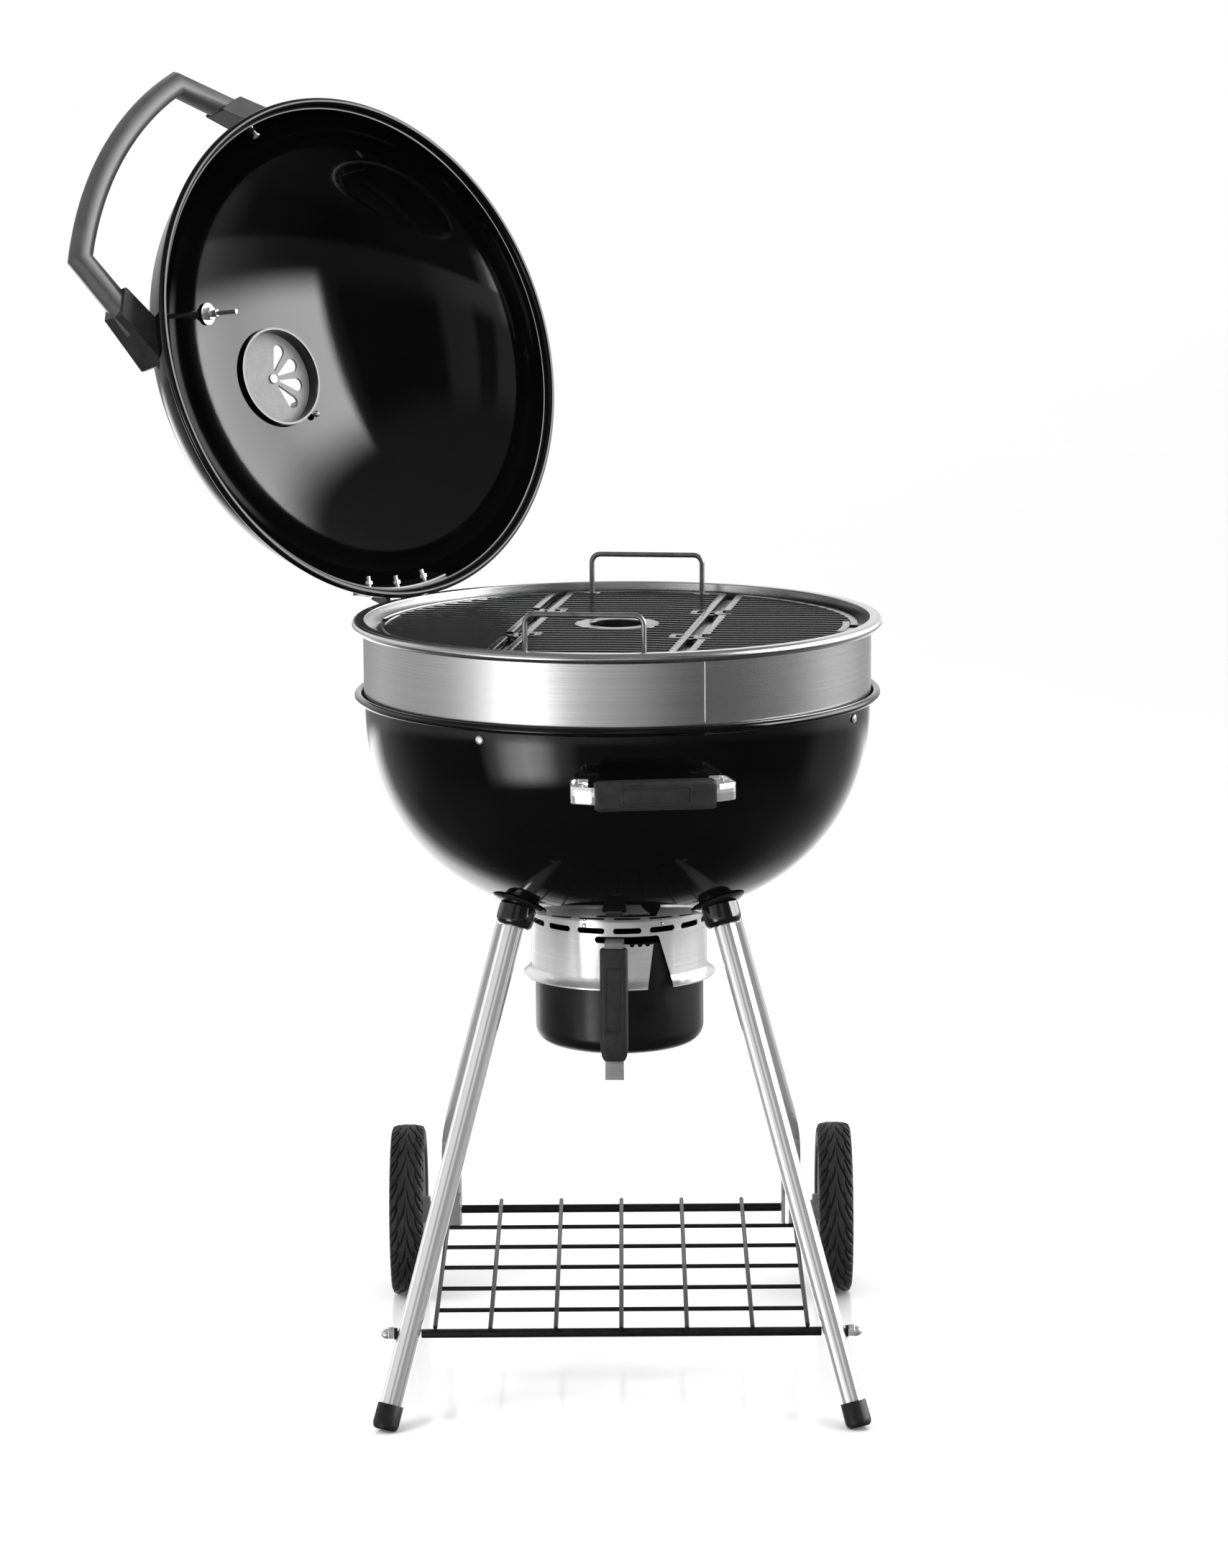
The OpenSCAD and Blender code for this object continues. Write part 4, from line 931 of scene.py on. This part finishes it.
SOFTENED = (
    ("charcoal_grate", CAST, "cast_iron", 0.7, KETTLE),
    ("band_hinge_bracket", BRACKET, "black_enamel_fittings", 1.0, KETTLE),
    ("lid_hinge_bracket", BRACKET, "black_enamel_fittings", 1.0, OPENED),
    ("hinge_bolts", FASTENER, "bright_fasteners", 0.4, OPENED),
    ("band_hinge_bolts", FASTENER, "bright_fasteners", 0.4, KETTLE),
    ("bowl_screws", FASTENER, "bright_fasteners", 0.4, KETTLE),
    ("bowl_handle_screws", FASTENER, "bright_fasteners", 0.4, KETTLE),
    ("handle_screws", FASTENER, "bright_fasteners", 0.4, OPENED),
    ("collar_rivets", FASTENER, "bright_fasteners", 0.3, KETTLE),
    ("ash_collar", BRUSHED_COLLAR, "brushed_stainless", 0.25, KETTLE),
    ("probe_nut", FASTENER, "bright_fasteners", 0.5, OPENED),
    ("acorn_nuts", FASTENER, "bright_fasteners", 0.6, KETTLE),
    ("axle_spacers", FASTENER, "bright_fasteners", 0.6, KETTLE),
    ("hinge_pin", FASTENER, "bright_fasteners", 0.6, KETTLE),
)
KEPT = {
    "grate_ledge": ENAMEL_TRIM, "grate_pins": FASTENER,
    "hinge_backing_plate": ENAMEL_TRIM, "lid_peg": FASTENER, "thermometer_face": DIAL,
    "thermometer_needle": NEEDLE, "thermometer_probe": FASTENER, "axle": POWDER,
}


def make_the_rest():
    for node, material, slot, bevel, place in SOFTENED:
        softened(node, material, bevel, 2, place)
    for node, material in KEPT.items():
        for holder in frame["nodes"][node].material_slots:
            holder.material = material


# ---------------------------------------------------------------- studio

WORLD_FILL = 0.8
FLOOR_HALF, FLOOR_DROP = 30, 0.0005
CAMERA_PLACE, CAMERA_LENS = (0.0105, -6.0694, 1.7225), 124.9


def aimed_area(name, place, target, size, power):
    light = bpy.data.lights.new(name, "AREA")
    light.shape = "RECTANGLE"
    light.size, light.size_y = size
    light.energy = power
    lamp = bpy.data.objects.new(name, light)
    bpy.context.scene.collection.objects.link(lamp)
    lamp.visible_glossy = False
    lamp.location = AXIS + Vector(place)
    lamp.rotation_euler = (AXIS + Vector(target) - lamp.location).to_track_quat("-Z", "Y").to_euler()
    return lamp


def make_floor():
    floor_mesh = bpy.data.meshes.new("floor")
    corners = [(x * FLOOR_HALF, y * FLOOR_HALF, -FLOOR_DROP) for x, y in ((-1, -1), (1, -1), (1, 1), (-1, 1))]
    floor_mesh.from_pydata(corners, [], [(0, 1, 2, 3)])
    floor = bpy.data.objects.new("floor", floor_mesh)
    bpy.context.scene.collection.objects.link(floor)
    g = Graph("studio_floor")
    g.link(g.ramp(g.noise(0.6, 3), [(0.3, grey(0.9)), (0.7, grey(0.93))]), g.shader.inputs["Base Color"])
    g.link(g.span(g.noise(1.2, 3), 0.09, 0.12), g.shader.inputs["Roughness"])
    g.shader.inputs["Specular IOR Level"].default_value = 0.25
    g.shader.inputs["Emission Color"].default_value = (1, 1, 1, 1)
    g.shader.inputs["Emission Strength"].default_value = 0.04
    floor_mesh.materials.append(g.material)
    floor.visible_glossy = False


GLOW_GAIN = 16


def shade_of(*angle_stops):
    """Stops of a grey ramp, given as angles from the front towards +X and brightnesses."""
    return [((angle + 180) / 360, grey(value / GLOW_GAIN)) for angle, value in angle_stops]


HIGH_GLOW = shade_of(
    (-180, 1.2), (-140, 1.2), (-118, 0.9), (-108, 1.3), (-96, 0.5), (-60, 0.6), (-28, 0.55), (-22, 0.12),
    (-8, 0.1), (-4, 0.45), (14, 0.4), (20, 0.06), (60, 0.05), (66, 0.3), (69, 14), (82, 12), (98, 8),
    (125, 7), (138, 3), (148, 0.9), (180, 1.2))
BAND_GLOW = shade_of(
    (-180, 1.2), (-168, 0.4), (-152, 0.45), (-131, 0.75), (-113, 0.6), (-86, 0.65), (-75, 0.9), (-64, 1.3),
    (-54, 1.7), (-36, 1.8), (-31, 0.9), (-18, 0.85), (0, 0.7), (17, 0.45), (25, 0.26), (34, 0.2), (60, 0.17),
    (84, 0.25), (96, 0.55), (110, 0.95), (128, 0.8), (146, 0.45), (160, 0.5), (180, 1.2))
LOW_GLOW = shade_of(
    (-180, 2.5), (-150, 2.5), (-138, 0.6), (-126, 0.4), (-110, 0.2), (-95, 0.08), (-66, 0.06), (-58, 1.6),
    (-50, 6), (-42, 8), (-35, 6), (-27, 1.2), (-17, 0.12), (60, 0.03), (95, 0.08), (107, 0.35), (130, 0.35),
    (142, 0.5), (152, 1), (180, 2.5))
DEEP_GLOW = shade_of(
    (-180, 2.5), (-152, 2.5), (-137, 0.5), (-120, 0.15), (-60, 0.08), (60, 0.08), (100, 0.12), (125, 0.25),
    (140, 0.4), (160, 1), (180, 2.5))
NADIR_GLOW, ZENITH_GLOW = 0.05 / GLOW_GAIN, 0.25 / GLOW_GAIN


def make_world():
    """A white studio. Gloss mirrors soft panels round the grill: four rings of them, one above another."""
    world = bpy.data.worlds.new("studio")
    bpy.context.scene.world = world
    world.use_nodes = True
    tree = world.node_tree
    background = tree.nodes["Background"]
    background.inputs["Color"].default_value = (1, 1, 1, 1)

    def add(kind, *values, operation=None):
        node = tree.nodes.new(kind)
        if operation:
            node.operation = operation
        for socket, value in zip(node.inputs, values):
            if isinstance(value, (int, float)):
                socket.default_value = value
            else:
                tree.links.new(value, socket)
        return node

    def blended(factor, a, b):
        node = add("ShaderNodeMix", factor)
        for name, value in (("A", a), ("B", b)):
            if isinstance(value, (int, float)):
                node.inputs[name].default_value = value
            else:
                tree.links.new(value, node.inputs[name])
        return node.outputs["Result"]

    def between(value, low, high):
        node = add("ShaderNodeMapRange", value, low, high)
        node.interpolation_type = "SMOOTHSTEP"
        return node.outputs["Result"]

    def glow(angle, stops):
        node = add("ShaderNodeValToRGB", angle)
        set_stops(node, stops)
        return node.outputs["Color"]

    way = add("ShaderNodeSeparateXYZ", tree.nodes.new("ShaderNodeTexCoord").outputs["Generated"]).outputs
    front = add("ShaderNodeMath", way["Y"], -1, operation="MULTIPLY").outputs[0]
    angle = add("ShaderNodeMath", way["X"], front, operation="ARCTAN2").outputs[0]
    turn = add("ShaderNodeMath", angle, 0.5 / pi, 0.5, operation="MULTIPLY_ADD").outputs[0]
    glossy = blended(between(way["Z"], -0.9, -0.65), NADIR_GLOW, glow(turn, DEEP_GLOW))
    glossy = blended(between(way["Z"], -0.52, -0.38), glossy, glow(turn, LOW_GLOW))
    glossy = blended(between(way["Z"], -0.21, -0.17), glossy, glow(turn, BAND_GLOW))
    glossy = blended(between(way["Z"], -0.06, 0.12), glossy, glow(turn, HIGH_GLOW))
    glossy = blended(between(way["Z"], 0.5, 0.72), glossy, ZENITH_GLOW)
    gained = add("ShaderNodeMath", glossy, GLOW_GAIN, operation="MULTIPLY").outputs[0]
    rays = tree.nodes.new("ShaderNodeLightPath")
    shine = blended(rays.outputs["Is Glossy Ray"], WORLD_FILL, gained)
    tree.links.new(blended(rays.outputs["Is Camera Ray"], shine, 1.0), background.inputs["Strength"])


def make_camera():
    """The photograph's view, about the kettle's axis."""
    pitch, yaw, roll = 0.172, -0.0025, -0.007
    forward = Vector((sin(yaw) * cos(pitch), cos(yaw) * cos(pitch), -sin(pitch)))
    right = forward.cross(Vector((0, 0, 1))).normalized()
    up = right.cross(forward)
    right, up = cos(roll) * right + sin(roll) * up, cos(roll) * up - sin(roll) * right
    data = bpy.data.cameras.new("camera")
    data.sensor_width = 36
    data.lens = CAMERA_LENS
    data.clip_end = 200
    camera = bpy.data.objects.new("camera", data)
    bpy.context.scene.collection.objects.link(camera)
    facing = Matrix((right, up, -forward)).transposed().to_4x4()
    camera.matrix_world = Matrix.Translation(AXIS + Vector(CAMERA_PLACE)) @ facing
    bpy.context.scene.camera = camera


def make_studio():
    make_floor()
    make_world()
    make_camera()
    bpy.context.scene.view_settings.view_transform = "Standard"
    aimed_area("key_left", (-2.6, -2.4, 2.3), (-0.3, 0, 0.9), (1.5, 2.0), 110)
    aimed_area("top_soft", (0.2, 0.4, 3.4), (0, 0, 0.6), (3.2, 3.2), 60)
    aimed_area("fill_right", (2.6, -1.8, 1.6), (0, 0, 0.7), (1.2, 2.4), 40)


make_studio()
make_bowl()
make_band()
make_grate()
make_pot()
make_ash_handle()
make_bowl_handle()
make_lid()
make_lid_handle()
make_vent()
make_thermometer()
make_legs()
make_shelf_bar()
make_shelf_wires()
make_wheels()
make_the_rest()
